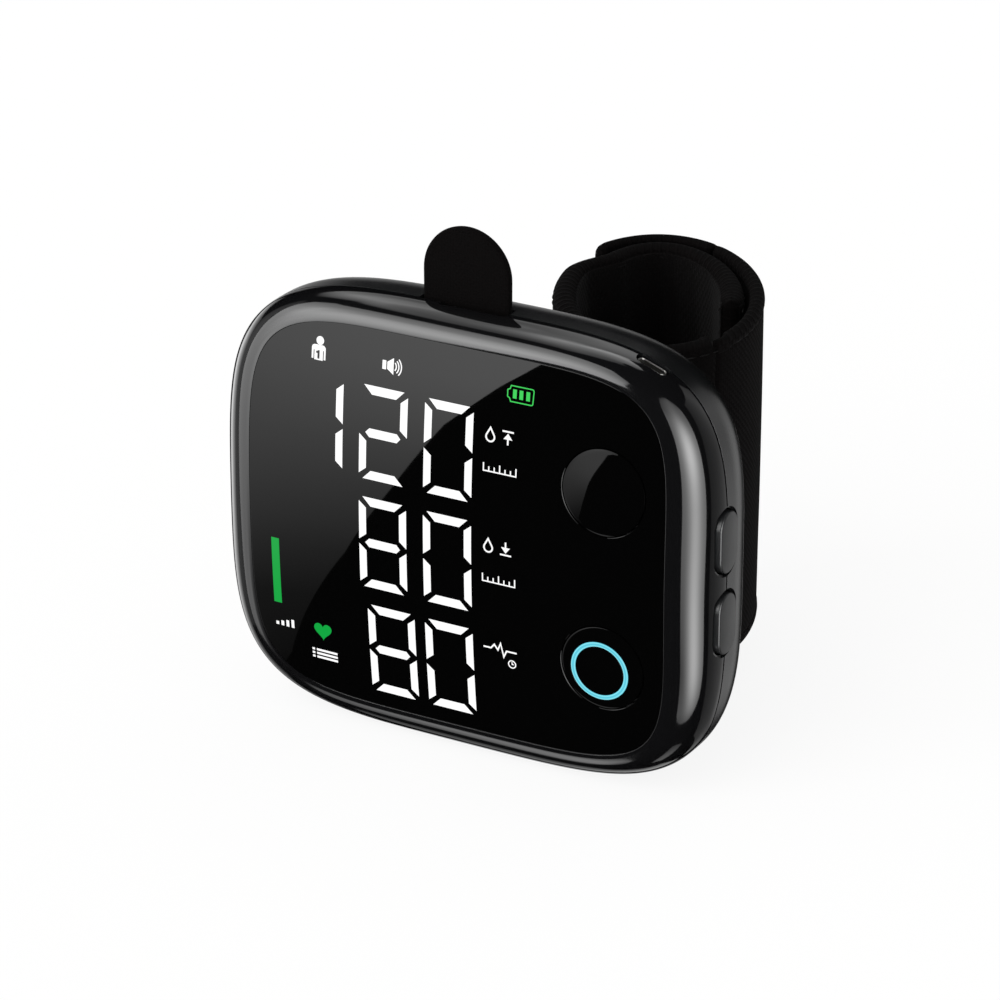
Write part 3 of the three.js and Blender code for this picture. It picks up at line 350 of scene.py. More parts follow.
softbox("low_rear_softbox", [
    (-60, -185, -80, (1.0, 1.2, 1.0, 0.5, 0.3)),
    (-70, -185, -90, (1.2, 1.0, 0.7, 0.3)),
    (-78, -185, -120, (0.5, 0.4, 0.2)),
])
softbox("low_right_softbox", [
    (-66, 42, 78, (0.5, 0.6, 0.5)),
    (-76, 24, 80, (0.9, 1.1, 0.9)),
    (-86, -10, 80, (0.6, 1.2, 1.0)),
])
softbox("right_rear_softbox", [
    (44, 100, 150, (0.25, 0.4, 0.6, 0.4)),
    (20, 96, 160, (0.2, 0.35, 0.5, 0.7, 0.2)),
    (0, 92, 172, (0.2, 0.3, 0.35, 0.45, 0.8, 0.4)),
    (-16, 92, 176, (0.2, 0.3, 0.4, 0.5, 0.9, 0.3)),
    (-32, 92, 174, (0.2, 0.3, 0.4, 0.45, 0.8, 0.5)),
    (-44, 96, 174, (0.2, 0.3, 0.3, 0.3, 0.2)),
    (-58, 110, 174, (0.3, 0.3, 0.3, 0.5, 0.9)),
])

# Front housing: the glossy front shell, injection moulded in black ABS and polished. It
# has a ledge that the lens is glued on, a rim flush with the lens, and a roll that turns
# back to the seam. Four bosses behind it take the screws.
MM = 0.001
gap = 0.3
seat = 0.1
lens_low, lens_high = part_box("display_lens")
front_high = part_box("front_housing")[1]
lens_middle = Vector((0, lens_low.y, (lens_low.z + lens_high.z) / 2))
lens_half_width = lens_high.x / MM
lens_half_height = (lens_high.z - lens_middle.z) / MM
lens_power = 5.13
lens_bend_across = 1345
lens_bend_up = 251
lens_thickness = 1.2
girth_half_width = front_high.x / MM
girth_drop = 0.5
girth_half_height = (front_high.z - lens_middle.z) / MM + girth_drop
girth_power = 3.96
seam_depth = 7.73
wall = 1.6
ledge_width = 2.0
ledge_front = lens_thickness + 2 * seat + 0.5
ledge_back = ledge_front + 1.3
ring_steps = 240
roll_steps = 22
rest_level = -lens_middle.z / MM


def sag(x, z):
    """Depth of the lens face behind its middle."""
    across = lens_bend_across - math.sqrt(lens_bend_across ** 2 - x ** 2)
    return across + lens_bend_up - math.sqrt(lens_bend_up ** 2 - z ** 2)


def oval_point(angle, half_width, half_height, power):
    """Point on a rounded oblong whose corners are fuller the higher the power."""
    c, s = math.cos(angle), math.sin(angle)
    reach = 2 / power
    return (
        half_width * math.copysign(abs(c) ** reach, c),
        half_height * math.copysign(abs(s) ** reach, s),
    )


def even_angles(half_width, half_height, power, steps):
    """Angles that put points at even steps along the oblong."""
    fine = 6000
    points = [
        Vector(oval_point(2 * math.pi * i / fine, half_width, half_height, power))
        for i in range(fine + 1)
    ]
    run = [0.0]
    for here, there in zip(points, points[1:]):
        run.append(run[-1] + (there - here).length)
    angles = []
    i = 0
    for k in range(steps):
        while run[i + 1] < run[-1] * k / steps:
            i += 1
        share = (run[-1] * k / steps - run[i]) / (run[i + 1] - run[i])
        angles.append(2 * math.pi * (i + share) / fine)
    return angles


ring_angles = even_angles(girth_half_width, girth_half_height, girth_power, ring_steps)


def lens_ring(inset, extra=0.0):
    """Outline of the lens, moved in, on a surface behind its face."""
    ring = []
    for angle in ring_angles:
        x, z = oval_point(angle, lens_half_width - inset, lens_half_height - inset, lens_power)
        ring.append(Vector((x, sag(x, z) + extra, z)))
    return ring


def girth_ring(inset, depth):
    """Widest outline of the housing, moved in, at one depth."""
    ring = []
    for angle in ring_angles:
        x, z = oval_point(angle, girth_half_width - inset, girth_half_height - inset, girth_power)
        ring.append(Vector((x, depth, z - girth_drop)))
    return ring


def mix_rings(start, end, across, deep):
    return [
        Vector((mix(a.x, b.x, across), mix(a.y, b.y, deep), mix(a.z, b.z, across)))
        for a, b in zip(start, end)
    ]


def quarter_roll(start, end, rising, steps=roll_steps):
    """Rings between two others: outwards first and then back, or the other way round."""
    rings = []
    for k in range(1, steps):
        turn = math.pi / 2 * k / steps
        across = math.sin(turn) if rising else 1 - math.cos(turn)
        deep = 1 - math.cos(turn) if rising else math.sin(turn)
        rings.append(mix_rings(start, end, across, deep))
    return rings


def skin(rings, closed=True, tips=None):
    """Points and faces of a skin over rings, joined end to end or closed by two tips."""
    count = len(rings[0])
    points = [point for ring in rings for point in ring]
    faces = []
    for k in range(len(rings) if closed else len(rings) - 1):
        here, there = k * count, (k + 1) % len(rings) * count
        for i in range(count):
            j = (i + 1) % count
            faces.append((here + i, there + i, there + j, here + j))
    if tips:
        first, last = len(points), len(points) + 1
        points += [Vector(tip) for tip in tips]
        end = (len(rings) - 1) * count
        for i in range(count):
            j = (i + 1) % count
            faces.append((first, i, j))
            faces.append((last, end + j, end + i))
    return points, faces


sharp_from = 32


def piece(name, points, faces, finish, sharp=sharp_from):
    """An object from points in millimetres, smooth except at edges sharper than an angle."""
    made = new_object(name, [lens_middle + Vector(point) * MM for point in points], faces, finish)
    shape = bmesh.new()
    shape.from_mesh(made.data)
    bmesh.ops.remove_doubles(shape, verts=shape.verts, dist=0.000001)
    bmesh.ops.recalc_face_normals(shape, faces=shape.faces)
    shape.to_mesh(made.data)
    shape.free()
    made.data.shade_smooth()
    made.data.set_sharp_from_angle(angle=math.radians(sharp))
    return made


def rod(centre, radius, start, end, steps=40):
    """A round bar along Y between two depths."""
    rings = [
        [
            Vector((centre[0] + radius * math.cos(turn), depth, centre[1] + radius * math.sin(turn)))
            for turn in (2 * math.pi * i / steps for i in range(steps))
        ]
        for depth in (start, end)
    ]
    return skin(rings, False, ((centre[0], start, centre[1]), (centre[0], end, centre[1])))


block_faces = [(0, 1, 3, 2), (4, 6, 7, 5), (0, 4, 5, 1), (2, 3, 7, 6), (0, 2, 6, 4), (1, 5, 7, 3)]


def block(low, high):
    """A plain box between two corners."""
    points = [Vector(corner) for corner in itertools.product(*zip(low, high))]
    return points, block_faces


near_enough = 0.04 * MM
same_way = 0.97
still_outward = 0.7


def keep_smooth(done, whole):
    """Give a carved mesh the corner normals of the whole one, wherever its surface is left."""
    smooth_from = BVHTree.FromPolygons(
        [v.co for v in whole.vertices], [tuple(p.vertices) for p in whole.polygons]
    )
    corner_normals = [corner.vector.copy() for corner in done.corner_normals]
    whole_normals = [corner.vector.copy() for corner in whole.corner_normals]
    for face in done.polygons:
        _, normal, _, distance = smooth_from.find_nearest(face.center)
        if distance > near_enough or abs(normal.dot(face.normal)) < same_way:
            continue
        for corner in face.loop_indices:
            place = done.vertices[done.loops[corner].vertex_index].co
            probe = place.lerp(face.center, 0.02)
            _, _, index, distance = smooth_from.find_nearest(probe)
            if distance > near_enough:
                continue
            source = whole.polygons[index]
            around = [whole.vertices[v].co for v in source.vertices]
            weights = poly_3d_calc(around, probe)
            blended = sum(
                (whole_normals[c] * w for c, w in zip(source.loop_indices, weights)), Vector((0, 0, 0))
            )
            if blended.dot(face.normal) > still_outward:
                corner_normals[corner] = blended.normalized()
    done.normals_split_custom_set(corner_normals)


def carve(target, cuts, joins=()):
    """Join shapes to a piece and cut others out, and keep its smooth look where it is left."""
    whole = target.data.copy()
    tools = []
    for operation, shapes in (("UNION", joins), ("DIFFERENCE", cuts)):
        for points, faces in shapes:
            tool = piece("tool", points, faces, None)
            tools.append(tool)
            boolean = target.modifiers.new("carve", "BOOLEAN")
            boolean.operation = operation
            boolean.object = tool
            boolean.solver = "MANIFOLD"
    graph = bpy.context.evaluated_depsgraph_get()
    done = bpy.data.meshes.new_from_object(target.evaluated_get(graph))
    target.modifiers.clear()
    target.data = done
    for tool in tools:
        bpy.data.objects.remove(tool)
    done.shade_smooth()
    done.set_sharp_from_angle(angle=math.radians(sharp_from))
    keep_smooth(done, whole)
    return target


def plastic(name, colour, rough, spread, grain, relief, ior, coat=0.5):
    """Moulded plastic: its roughness wanders over centimetres, its surface has a fine grain,
    and a dark coat takes off part of its gloss."""
    made, tree = new_material(name)
    place = add(tree, "ShaderNodeTexCoord")
    handled = add(tree, "ShaderNodeTexNoise", {
        "Vector": place.outputs["Object"], "Scale": 1 / (14 * MM), "Detail": 3.0, "Roughness": 0.6,
    })
    gloss = add(tree, "ShaderNodeMapRange", {
        "Value": handled.outputs["Fac"], "From Min": 0.3, "From Max": 0.7,
        "To Min": rough - spread, "To Max": rough + spread,
    })
    texture = add(tree, "ShaderNodeTexNoise", {
        "Vector": place.outputs["Object"], "Scale": 1 / (grain * MM), "Detail": 2.0,
    })
    bump = add(tree, "ShaderNodeBump", {
        "Height": texture.outputs["Fac"], "Strength": 1.0, "Distance": relief * MM,
    })
    shade = add(tree, "ShaderNodeBsdfPrincipled", {
        "Base Color": linear(colour), "Roughness": gloss.outputs["Result"], "IOR": ior,
        "Specular IOR Level": coat, "Normal": bump.outputs["Normal"],
    })
    add(tree, "ShaderNodeOutputMaterial", {"Surface": shade.outputs[0]})
    return made


# Polished ABS: deep black under a gloss that is soft at its edges, with a little orange peel.
gloss_abs = plastic("gloss_abs", "#0C0C0D", 0.075, 0.02, 2.5, 0.0008, 1.52)

seam_front = seam_depth - gap / 2
seam_rear = seam_depth + gap / 2
seam_groove = seam_rear + 0.1
edge_round = 0.03
hold_share = 0.005
round_share = 0.3
inner_roll_steps = 8
rim = lens_ring(-2 * edge_round, 0)
rim_edge = lens_ring(-edge_round, edge_round)
girth_front = girth_ring(0, seam_front - edge_round)
ledge_inner = lens_ring(ledge_width, ledge_back)
inner_front = girth_ring(wall, seam_front)
front_shell = piece("front_shell", *skin([
    lens_ring(ledge_width, ledge_front),
    lens_ring(-edge_round, ledge_front),
    rim_edge,
    mix_rings(rim_edge, rim, round_share, 1 - round_share),
    rim,
    mix_rings(rim, girth_front, hold_share, 0),
    *quarter_roll(rim, girth_front, True),
    mix_rings(rim, girth_front, 1, 1 - hold_share),
    girth_front,
    girth_ring(edge_round, seam_front),
    inner_front,
    *reversed(quarter_roll(ledge_inner, inner_front, True, inner_roll_steps)),
    ledge_inner,
]), gloss_abs)

boss_radius = 2.6
boss_top = 11.2
boss_root = ledge_back + wall / 4
boss_x = girth_half_width - 7.3
boss_upper = girth_half_height - 18.65
boss_lower = 17.15 - girth_half_height
boss_places = [(x, z) for z in (boss_upper, boss_lower) for x in (-boss_x, boss_x)]
screw_radius = 0.95
screw_tip = 5.2
pilot_radius = screw_radius + gap

# Openings: the wells of the side keys and the mouth of the port lie across the seam, and
# the bar that closes the tongue's slot has a place of its own
side_key_levels = (6.75, -6.5)
side_key_half_height = 4.95
side_key_half_width = 2.75
side_well_depth = 0.6
port_turn = math.radians(20)
port_half_width = 2.5
port_half_height = 0.95
port_depth = 5.5
port_forward = 0.75
port_x = girth_half_width - 12.3
port_share = (1 - (port_x / girth_half_width) ** girth_power) ** (1 / girth_power)
port_z = girth_half_height * port_share - girth_drop + 0.2
overrun = 2.0


def capsule(half_length, radius, steps=28):
    """Outline of a capsule, long in its first direction."""
    straight = half_length - radius
    outline = []
    for k in range(steps):
        turn = -math.pi / 2 + 2 * math.pi * (k + 0.5) / steps
        shift = straight if math.cos(turn) > 0 else -straight
        outline.append((shift + radius * math.cos(turn), radius * math.sin(turn)))
    return outline


def side_capsule(margin, start, end, level, steps=56):
    """A capsule bar along X, long in Z, through the seam."""
    outline = capsule(side_key_half_height + margin, side_key_half_width + margin, steps)
    rings = [[Vector((x, seam_depth + b, level + a)) for a, b in outline] for x in (start, end)]
    return skin(rings, False, ((start, seam_depth, level), (end, seam_depth, level)))


def port_place(across, deep, height):
    """Point of the charging port: across its mouth, through it, and out of the surface."""
    x = port_x + across * math.cos(port_turn) + height * math.sin(port_turn)
    z = port_z - across * math.sin(port_turn) + height * math.cos(port_turn)
    return Vector((x, seam_depth - port_forward + deep, z))


def port_tube(half_width, half_height, profile, steps):
    """A capsule bar square to the surface, its outline let out by a margin at each height."""
    rings = [
        [port_place(a, b, height) for a, b in capsule(half_width + margin, half_height + margin, steps)]
        for margin, height in profile
    ]
    return skin(rings, False, (port_place(0, 0, profile[0][1]), port_place(0, 0, profile[-1][1])))


lip_inset = wall + 2 * gap
lip_thickness = 0.8
lip_front = seam_front - 0.5
lip_inner = girth_half_width - lip_inset - lip_thickness
side_openings = []
for level in side_key_levels:
    side_openings.append(side_capsule(gap, lip_inner - 2 * overrun, girth_half_width + overrun, level))
    side_openings.append(
        side_capsule(2 * gap, girth_half_width - side_well_depth, girth_half_width + overrun, level)
    )
port_opening = port_tube(
    port_half_width, port_half_height, ((gap, -port_depth - overrun), (gap, overrun)), 48
)
latch_half_width = 5.35
latch_height = 1.6
latch_thickness = 0.6
latch_front = seam_depth - latch_thickness - gap / 2
latch_top = girth_half_height - girth_drop - gap
latch_opening = block(
    (-latch_half_width - gap, latch_front - gap, latch_top - latch_height - gap),
    (latch_half_width + gap, seam_depth, girth_half_height + overrun),
)
rest_cut = block(
    (-girth_half_width, -overrun, -2 * girth_half_height),
    (girth_half_width, girth_half_width, rest_level),
)
carve(
    front_shell,
    [
        *(rod(centre, pilot_radius, screw_tip - gap, boss_top + overrun) for centre in boss_places),
        *side_openings,
        port_opening,
        latch_opening,
        rest_cut,
    ],
    [rod(centre, boss_radius, boss_root, boss_top) for centre in boss_places],
)
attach(front_shell, "device")
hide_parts("front_housing")

# Rear housing: the satin back shell, moulded in black ABS with a lightly etched surface.
# It has a lip that centres the front shell, screw wells, sound holes, a slot for the
# tongue, and a small flat underneath that the monitor stands on.
rest_depth = seam_depth + 2.4
rear_edge = 0.01
rear_edge_hold = 0.04
rear_roll_inset = 7.95
back_depth = rest_depth + 10.3
floor_depth = back_depth - wall
screw_head_radius = 1.8
head_seat = boss_top + gap + wall
well_radius = screw_head_radius + gap
tongue_x = -1.9
tongue_width = 15.0
tongue_foot = girth_half_height - 2.95
tongue_front = seam_depth + 2 * gap
tongue_thickness = 1.2
slot_back = tongue_front + tongue_thickness + gap

# Etched ABS: a dark satin that spreads the softboxes into broad grey bands.
satin_abs = plastic("satin_abs", "#101112", 0.24, 0.03, 0.35, 0.003, 1.52)

rear_corner = girth_ring(0, rest_depth)
back_ring = girth_ring(rear_roll_inset, back_depth)
floor_ring = girth_ring(rear_roll_inset + wall, floor_depth)
inner_start = girth_ring(lip_inset + lip_thickness, rest_depth)
rear_shell = piece("rear_shell", *skin([
    floor_ring,
    *reversed(quarter_roll(inner_start, floor_ring, False, inner_roll_steps)),
    inner_start,
    girth_ring(lip_inset + lip_thickness, lip_front),
    girth_ring(lip_inset, lip_front),
    girth_ring(lip_inset, seam_groove),
    girth_ring(rear_edge, seam_groove),
    girth_ring(0, seam_groove + rear_edge),
    girth_ring(0, seam_groove + rear_edge_hold),
    rear_corner,
    *quarter_roll(rear_corner, back_ring, False),
    back_ring,
    girth_ring(rear_roll_inset * 2, back_depth),
], False, ((0, floor_depth, -girth_drop), (0, back_depth, -girth_drop))), satin_abs)
saddle_low, saddle_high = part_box("cuff_saddle")
nipple_low, nipple_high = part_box("air_nipple")
nipple_x = (saddle_low.x + saddle_high.x) / 2 / MM
nipple_z = (nipple_low.z + nipple_high.z) / 2 / MM + rest_level
nipple_radius = 2.0
saddle_screw_reach = 10.5
saddle_screw_drop = 1.0
saddle_screws = [
    (nipple_x + side * saddle_screw_reach, nipple_z - saddle_screw_drop) for side in (-1, 1)
]
speaker_low, speaker_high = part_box("speaker")
speaker_x = (speaker_low.x + speaker_high.x) / 2 / MM
speaker_z = (speaker_low.z + speaker_high.z) / 2 / MM + rest_level
sound_ring = 3.0
sound_radius = 0.7
sound_flare = 0.15
sound_holes = [(speaker_x, speaker_z)] + [
    (speaker_x + sound_ring * math.cos(turn), speaker_z + sound_ring * math.sin(turn))
    for turn in (math.radians(60 * k) for k in range(6))
]


def drill(centre, radius, start, flare=0.2, steps=40):
    """A hole through the back, with a small round-over where it comes out."""
    rings = [
        [
            Vector((centre[0] + r * math.cos(turn), depth, centre[1] + r * math.sin(turn)))
            for turn in (2 * math.pi * i / steps for i in range(steps))
        ]
        for r, depth in (
            (radius, start),
            (radius, back_depth - flare),
            (radius + flare * round_share, back_depth - flare * round_share),
            (radius + flare, back_depth),
            (radius + flare, back_depth + overrun),
        )
    ]
    ends = ((centre[0], start, centre[1]), (centre[0], back_depth + overrun, centre[1]))
    return skin(rings, False, ends)


slot_opening = block(
    (tongue_x - tongue_width / 2 - gap, seam_depth - overrun, tongue_foot - 2 * overrun),
    (tongue_x + tongue_width / 2 + gap, slot_back, girth_half_height + overrun),
)
well_floor = floor_depth - overrun
carve(
    rear_shell,
    [
        *(
            rod(centre, pilot_radius, boss_top + gap - overrun, head_seat + overrun)
            for centre in boss_places
        ),
        *(drill(centre, well_radius, head_seat) for centre in boss_places),
        *side_openings,
        port_opening,
        slot_opening,
        drill((nipple_x, nipple_z), nipple_radius + gap, well_floor),
        *(drill(centre, pilot_radius, well_floor) for centre in saddle_screws),
        *(drill(centre, sound_radius, well_floor, sound_flare, 24) for centre in sound_holes),
        rest_cut,
    ],
    [
        rod(centre, boss_radius + gap, boss_top + gap, floor_depth + wall / 2)
        for centre in boss_places
    ],
)
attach(rear_shell, "device")
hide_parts("rear_housing")

# Display lens: one pane of acrylic, bent to a shallow bow and printed black behind, so
# that only the lit parts of the display show through. Two holes let the keys pass.
lens_edge = 0.03
hole_edge = 0.08
key_radius = 6.8
key_clearance = 0.18
key_x = lens_half_width - 10.29
memory_place = (key_x, lens_half_height - 17.84)
start_place = (key_x, 16.41 - lens_half_height)

# Acrylic with a dulling coat: a darker mirror than the shell, with the faintest haze of use.
black_acrylic = plastic("black_acrylic", "#030303", 0.012, 0.005, 6.0, 0.0002, 1.49, 0.18)


def lens_circle(centre, radius, extra, steps=96):
    """Circle round a place, following the bow of the lens."""
    ring = []
    for i in range(steps):
        turn = 2 * math.pi * i / steps
        x = centre[0] + radius * math.cos(turn)
        z = centre[1] + radius * math.sin(turn)
        ring.append(Vector((x, sag(x, z) + extra, z)))
    return ring


def lens_hole(centre):
    """A round hole with a chamfered edge at the face of the lens."""
    radius = key_radius + key_clearance
    rings = [
        lens_circle(centre, radius + 2 * hole_edge, -hole_edge - overrun),
        lens_circle(centre, radius + 2 * hole_edge, -hole_edge),
        lens_circle(centre, radius, hole_edge),
        lens_circle(centre, radius, lens_thickness + overrun),
    ]
    return skin(rings, False, ((centre[0], -overrun, centre[1]), (centre[0], 2 * overrun, centre[1])))


def shrink(share, extra):
    """Outline of the lens drawn in towards its middle, on a surface behind its face."""
    ring = []
    for point in lens_ring(0):
        x, z = point.x * share, point.z * share
        ring.append(Vector((x, sag(x, z) + extra, z)))
    return ring


lens_steps = 12
lens_shares = [k / lens_steps for k in range(1, lens_steps)]
lens_pane = piece("lens_pane", *skin([
    *(shrink(share, 0) for share in lens_shares),
    lens_ring(lens_edge * 3, 0),
    lens_ring(lens_edge, 0),
    lens_ring(lens_edge * round_share, lens_edge * round_share),
    lens_ring(0, lens_edge),
    lens_ring(0, lens_thickness),
    *(shrink(share, lens_thickness) for share in reversed(lens_shares)),
], False, ((0, 0, 0), (0, lens_thickness, 0))), black_acrylic)
carve(lens_pane, [lens_hole(memory_place), lens_hole(start_place)])
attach(lens_pane, "device")
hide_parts("display_lens")

# Lit digits and signs: white and green light that shines through clear places in the
# print behind the lens. Each is a thin glossy film on the face, bright and even.
film_proud = 0.03
film_depth = 0.06
film_step = 2.0
stroke_width = 1.42
upright_width = stroke_width * 0.88
end_gap = 0.66
tip_gap = 0.78
middle_gap = 0.39
mitre = 1.0
digit_width = 8.4
digit_height = 15.1
digit_pitch = 11.39
row_pitch = 18.11
units_left = 31.38 - lens_half_width
top_row = lens_half_height - 8.84
low_tens_shift = 1.13


def lit_film(name, colour, strength):
    """A lit place: light of one colour under the gloss of the lens, a little uneven."""
    made, tree = new_material(name)
    place = add(tree, "ShaderNodeTexCoord")
    cloud = add(tree, "ShaderNodeTexNoise", {
        "Vector": place.outputs["Object"], "Scale": 1 / (5 * MM), "Detail": 1.0,
    })
    level = add(tree, "ShaderNodeMapRange", {
        "Value": cloud.outputs["Fac"], "To Min": strength * 0.96, "To Max": strength * 1.04,
    })
    shade = add(tree, "ShaderNodeBsdfPrincipled", {
        "Base Color": linear("#101010"), "Roughness": 0.05, "IOR": 1.49, "Specular IOR Level": 0.18,
        "Emission Color": linear(colour), "Emission Strength": level.outputs["Result"],
    })
    add(tree, "ShaderNodeOutputMaterial", {"Surface": shade.outputs[0]})
    return made


def film(name, shapes, finish):
    """Flat shapes laid on the bow of the lens, each shape a list of faces of (x, z) points."""
    sheet = bmesh.new()
    for shape in shapes:
        for face in shape:
            corners = [sheet.verts.new((x, 0, z)) for x, z in face]
            sheet.faces.new(corners)
    bmesh.ops.remove_doubles(sheet, verts=sheet.verts, dist=0.001)
    bmesh.ops.recalc_face_normals(sheet, faces=sheet.faces)
    steps = int(lens_half_height / film_step) + 1
    for k in range(-steps, steps):
        bmesh.ops.bisect_plane(
            sheet, geom=[*sheet.verts, *sheet.edges, *sheet.faces],
            plane_co=(0, 0, k * film_step), plane_no=(0, 0, 1),
        )
    deep = bmesh.ops.extrude_face_region(sheet, geom=list(sheet.faces), use_keep_orig=True)
    for vertex in deep["geom"]:
        if isinstance(vertex, bmesh.types.BMVert):
            vertex.co.y = film_depth
    bmesh.ops.recalc_face_normals(sheet, faces=sheet.faces)
    for vertex in sheet.verts:
        vertex.co.y += sag(vertex.co.x, vertex.co.z) - film_proud
    points = [vertex.co.copy() for vertex in sheet.verts]
    sheet.verts.index_update()
    faces = [[vertex.index for vertex in face.verts] for face in sheet.faces]
    sheet.free()
    made = piece(name, points, faces, finish)
    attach(made, "device")
    return made


def digit_segment(name, left, top):
    """Face of one segment of a digit: its ends are cut aslant, clear of the next one."""
    t = stroke_width
    u = upright_width
    right, low = left + digit_width, top - digit_height
    middle = (top + low) / 2
    tip, centre = top - tip_gap, middle + middle_gap
    foot, waist = low + tip_gap, middle - middle_gap
    near, far = left + end_gap, right - end_gap
    sides = {
        "a": [(near, top), (far, top), (far - t, top - t), (near + t, top - t)],
        "d": [(near, low), (far, low), (far - t, low + t), (near + t, low + t)],
        "b": [(right, tip), (right, centre), (right - u, centre + mitre), (right - u, tip - mitre)],
        "c": [(right, foot), (right, waist), (right - u, waist - mitre), (right - u, foot + mitre)],
        "f": [(left, tip), (left, centre), (left + u, centre + mitre), (left + u, tip - mitre)],
        "e": [(left, foot), (left, waist), (left + u, waist - mitre), (left + u, foot + mitre)],
        "g": [
            (left + t * 0.75, middle), (left + t * 1.25, middle + t / 2),
            (right - t * 1.25, middle + t / 2), (right - t * 0.8, middle),
            (right - t * 1.25, middle - t / 2), (left + t * 1.25, middle - t / 2),
        ],
    }
    return [sides[name]]


tens_left = units_left - digit_pitch
middle_row = top_row - row_pitch
low_row = middle_row - row_pitch
shown = [
    (units_left, top_row, "abcdef"), (tens_left, top_row, "abged"),
    (tens_left - digit_pitch, top_row, "bc"),
    (units_left, middle_row, "abcdef"), (tens_left, middle_row, "abcdefg"),
    (units_left, low_row, "abcdef"), (tens_left + low_tens_shift, low_row, "abcdefg"),
]
white_light = lit_film("white_light", "#FFFFFF", 1.05)
lit_segments = [digit_segment(name, left, top) for left, top, lit in shown for name in lit]
film("digit_film", lit_segments, white_light)


def stroke(points, width, closed=False):
    """A line of one width through points, as a strip of faces mitred at its bends."""
    sides = []
    count = len(points)
    for i, (x, z) in enumerate(points):
        before = points[i - 1] if closed or i else points[i]
        after = points[(i + 1) % count] if closed or i < count - 1 else points[i]
        arrive = Vector((x - before[0], z - before[1]))
        leave = Vector((after[0] - x, after[1] - z))
        arrive = arrive.normalized() if arrive.length else leave.normalized()
        leave = leave.normalized() if leave.length else arrive
        across = Vector((-arrive.y - leave.y, arrive.x + leave.x)).normalized()
        reach = width / 2 / max(across.dot(Vector((-leave.y, leave.x))), 0.4)
        dx, dz = across.x * reach, across.y * reach
        sides.append(((x + dx, z + dz), (x - dx, z - dz)))
    ahead = sides[1:] + sides[:1] if closed else sides[1:]
    return [[here[0], there[0], there[1], here[1]] for here, there in zip(sides, ahead)]


def arc(centre, radius, start, end, steps=14):
    """Points along part of a circle, in degrees from the right."""
    turns = [math.radians(mix(start, end, k / steps)) for k in range(steps + 1)]
    return [(centre[0] + radius * math.cos(t), centre[1] + radius * math.sin(t)) for t in turns]


def bar(left, low, right, high):
    return [[(left, low), (right, low), (right, high), (left, high)]]


# Signs above the digits: whose reading it is, sound on, and in green the charge
thin = 0.26
body_left, body_right, body_low, arm_top = -25.03, -22.57, 24.75, 26.3
arm = 0.3
side = 0.48
shoulder = 0.55
one_left, one_right, flag_left = -24.02, -23.62, -24.27
person = [
    [arc((-23.6, 27.85), 0.68, 0, 345, 23)],
    [[
        (body_left, arm_top), *arc((body_left + shoulder, arm_top + 0.3), shoulder, 180, 90, 6),
        *arc((body_right - shoulder, arm_top + 0.3), shoulder, 90, 0, 6), (body_right, arm_top),
    ]],
    bar(body_left, body_low + 0.15, body_left + arm, arm_top),
    bar(body_right - arm, body_low + 0.15, body_right, arm_top),
    bar(body_left + side, body_low, flag_left, arm_top),
    bar(flag_left, body_low, one_left, arm_top - 0.5),
    bar(flag_left, arm_top - 0.15, one_left, arm_top),
    bar(one_left, body_low, one_right, body_low + 0.2),
    bar(one_right, body_low, body_right - side, arm_top),
]
speaker_sign = [
    bar(-12.45, 25.6, -11.8, 27.0),
    [[(-11.6, 25.75), (-10.5, 25.0), (-10.5, 27.6), (-11.6, 26.85)]],
    *(stroke(arc((-10.9, 26.3), radius, -44, 44), 0.19) for radius in (0.88, 1.33, 1.78)),
]
film("reading_signs", [*person, *speaker_sign], white_light)
green_light = lit_film("green_light", "#00A63E", 1.0)
bright_green_light = lit_film("bright_green_light", "#40D45C", 1.0)
battery_outline = [
    (9.75, 27.25), *arc((13.3, 26.95), 0.3, 90, 0, 4), *arc((13.2, 25.1), 0.3, 0, -90, 4), (9.75, 24.8),
    (9.55, 25.3), (9.2, 25.5), (9.2, 26.55), (9.6, 26.75),
]
battery_sign = [
    stroke(battery_outline, 0.17, True),
    *(bar(x, 25.35, x + 0.62, 26.75) for x in (10.1, 11.2, 12.35)),
]
film("charge_sign", battery_sign, bright_green_light)

# Beside the lower digits: the green level bar, and a green heart for the pulse
heart_x, heart_z = -23.6, -20.45
heart_scale = 0.1
heart_outline = []
for turn in (2 * math.pi * k / 40 for k in range(40)):
    across = 16 * math.sin(turn) ** 3
    rise = 13 * math.cos(turn) - 5 * math.cos(2 * turn) - 2 * math.cos(3 * turn) - math.cos(4 * turn)
    heart_outline.append((heart_x + heart_scale * across, heart_z + heart_scale * rise))
film("level_bar", [bar(-32.4, -17.3, -31.0, -6.1)], green_light)
film("heart_sign", [[heart_outline]], green_light)

# Plain signs in the place of the words: highest and lowest pressure, each by an arrow to
# or from a line beside a drop; the pulse by a beat; and their units by a tick scale.
sign_half = 1.1
tick_width = 0.2


def drop_sign(x, z):
    """Outline of a drop, with its tip up."""
    return stroke([(x, z + sign_half), *arc((x, z - 0.35), 0.72, 35, -215, 18)], thin, True)


def arrow_sign(x, z, way):
    """Arrow that points up or down to a line."""
    line = z + way * 1.0
    head = z + way * 0.72
    return [
        stroke([(x - 0.95, line), (x + 0.95, line)], thin),
        stroke([(x, z - way * sign_half), (x, head - way * 0.25)], thin),
        [[(x, head), (x + way * 0.75, head - way * 0.95), (x - way * 0.75, head - way * 0.95)]],
    ]


def scale_sign(left, right, low):
    """A base line with seven ticks, tall at the ends and in the middle."""
    ticks = [stroke([(left, low), (right, low)], tick_width)]
    for k in range(7):
        x = mix(left + tick_width / 2, right - tick_width / 2, k / 6)
        ticks.append(stroke([(x, low), (x, low + (1.25 if k % 3 == 0 else 0.75))], tick_width))
    return ticks


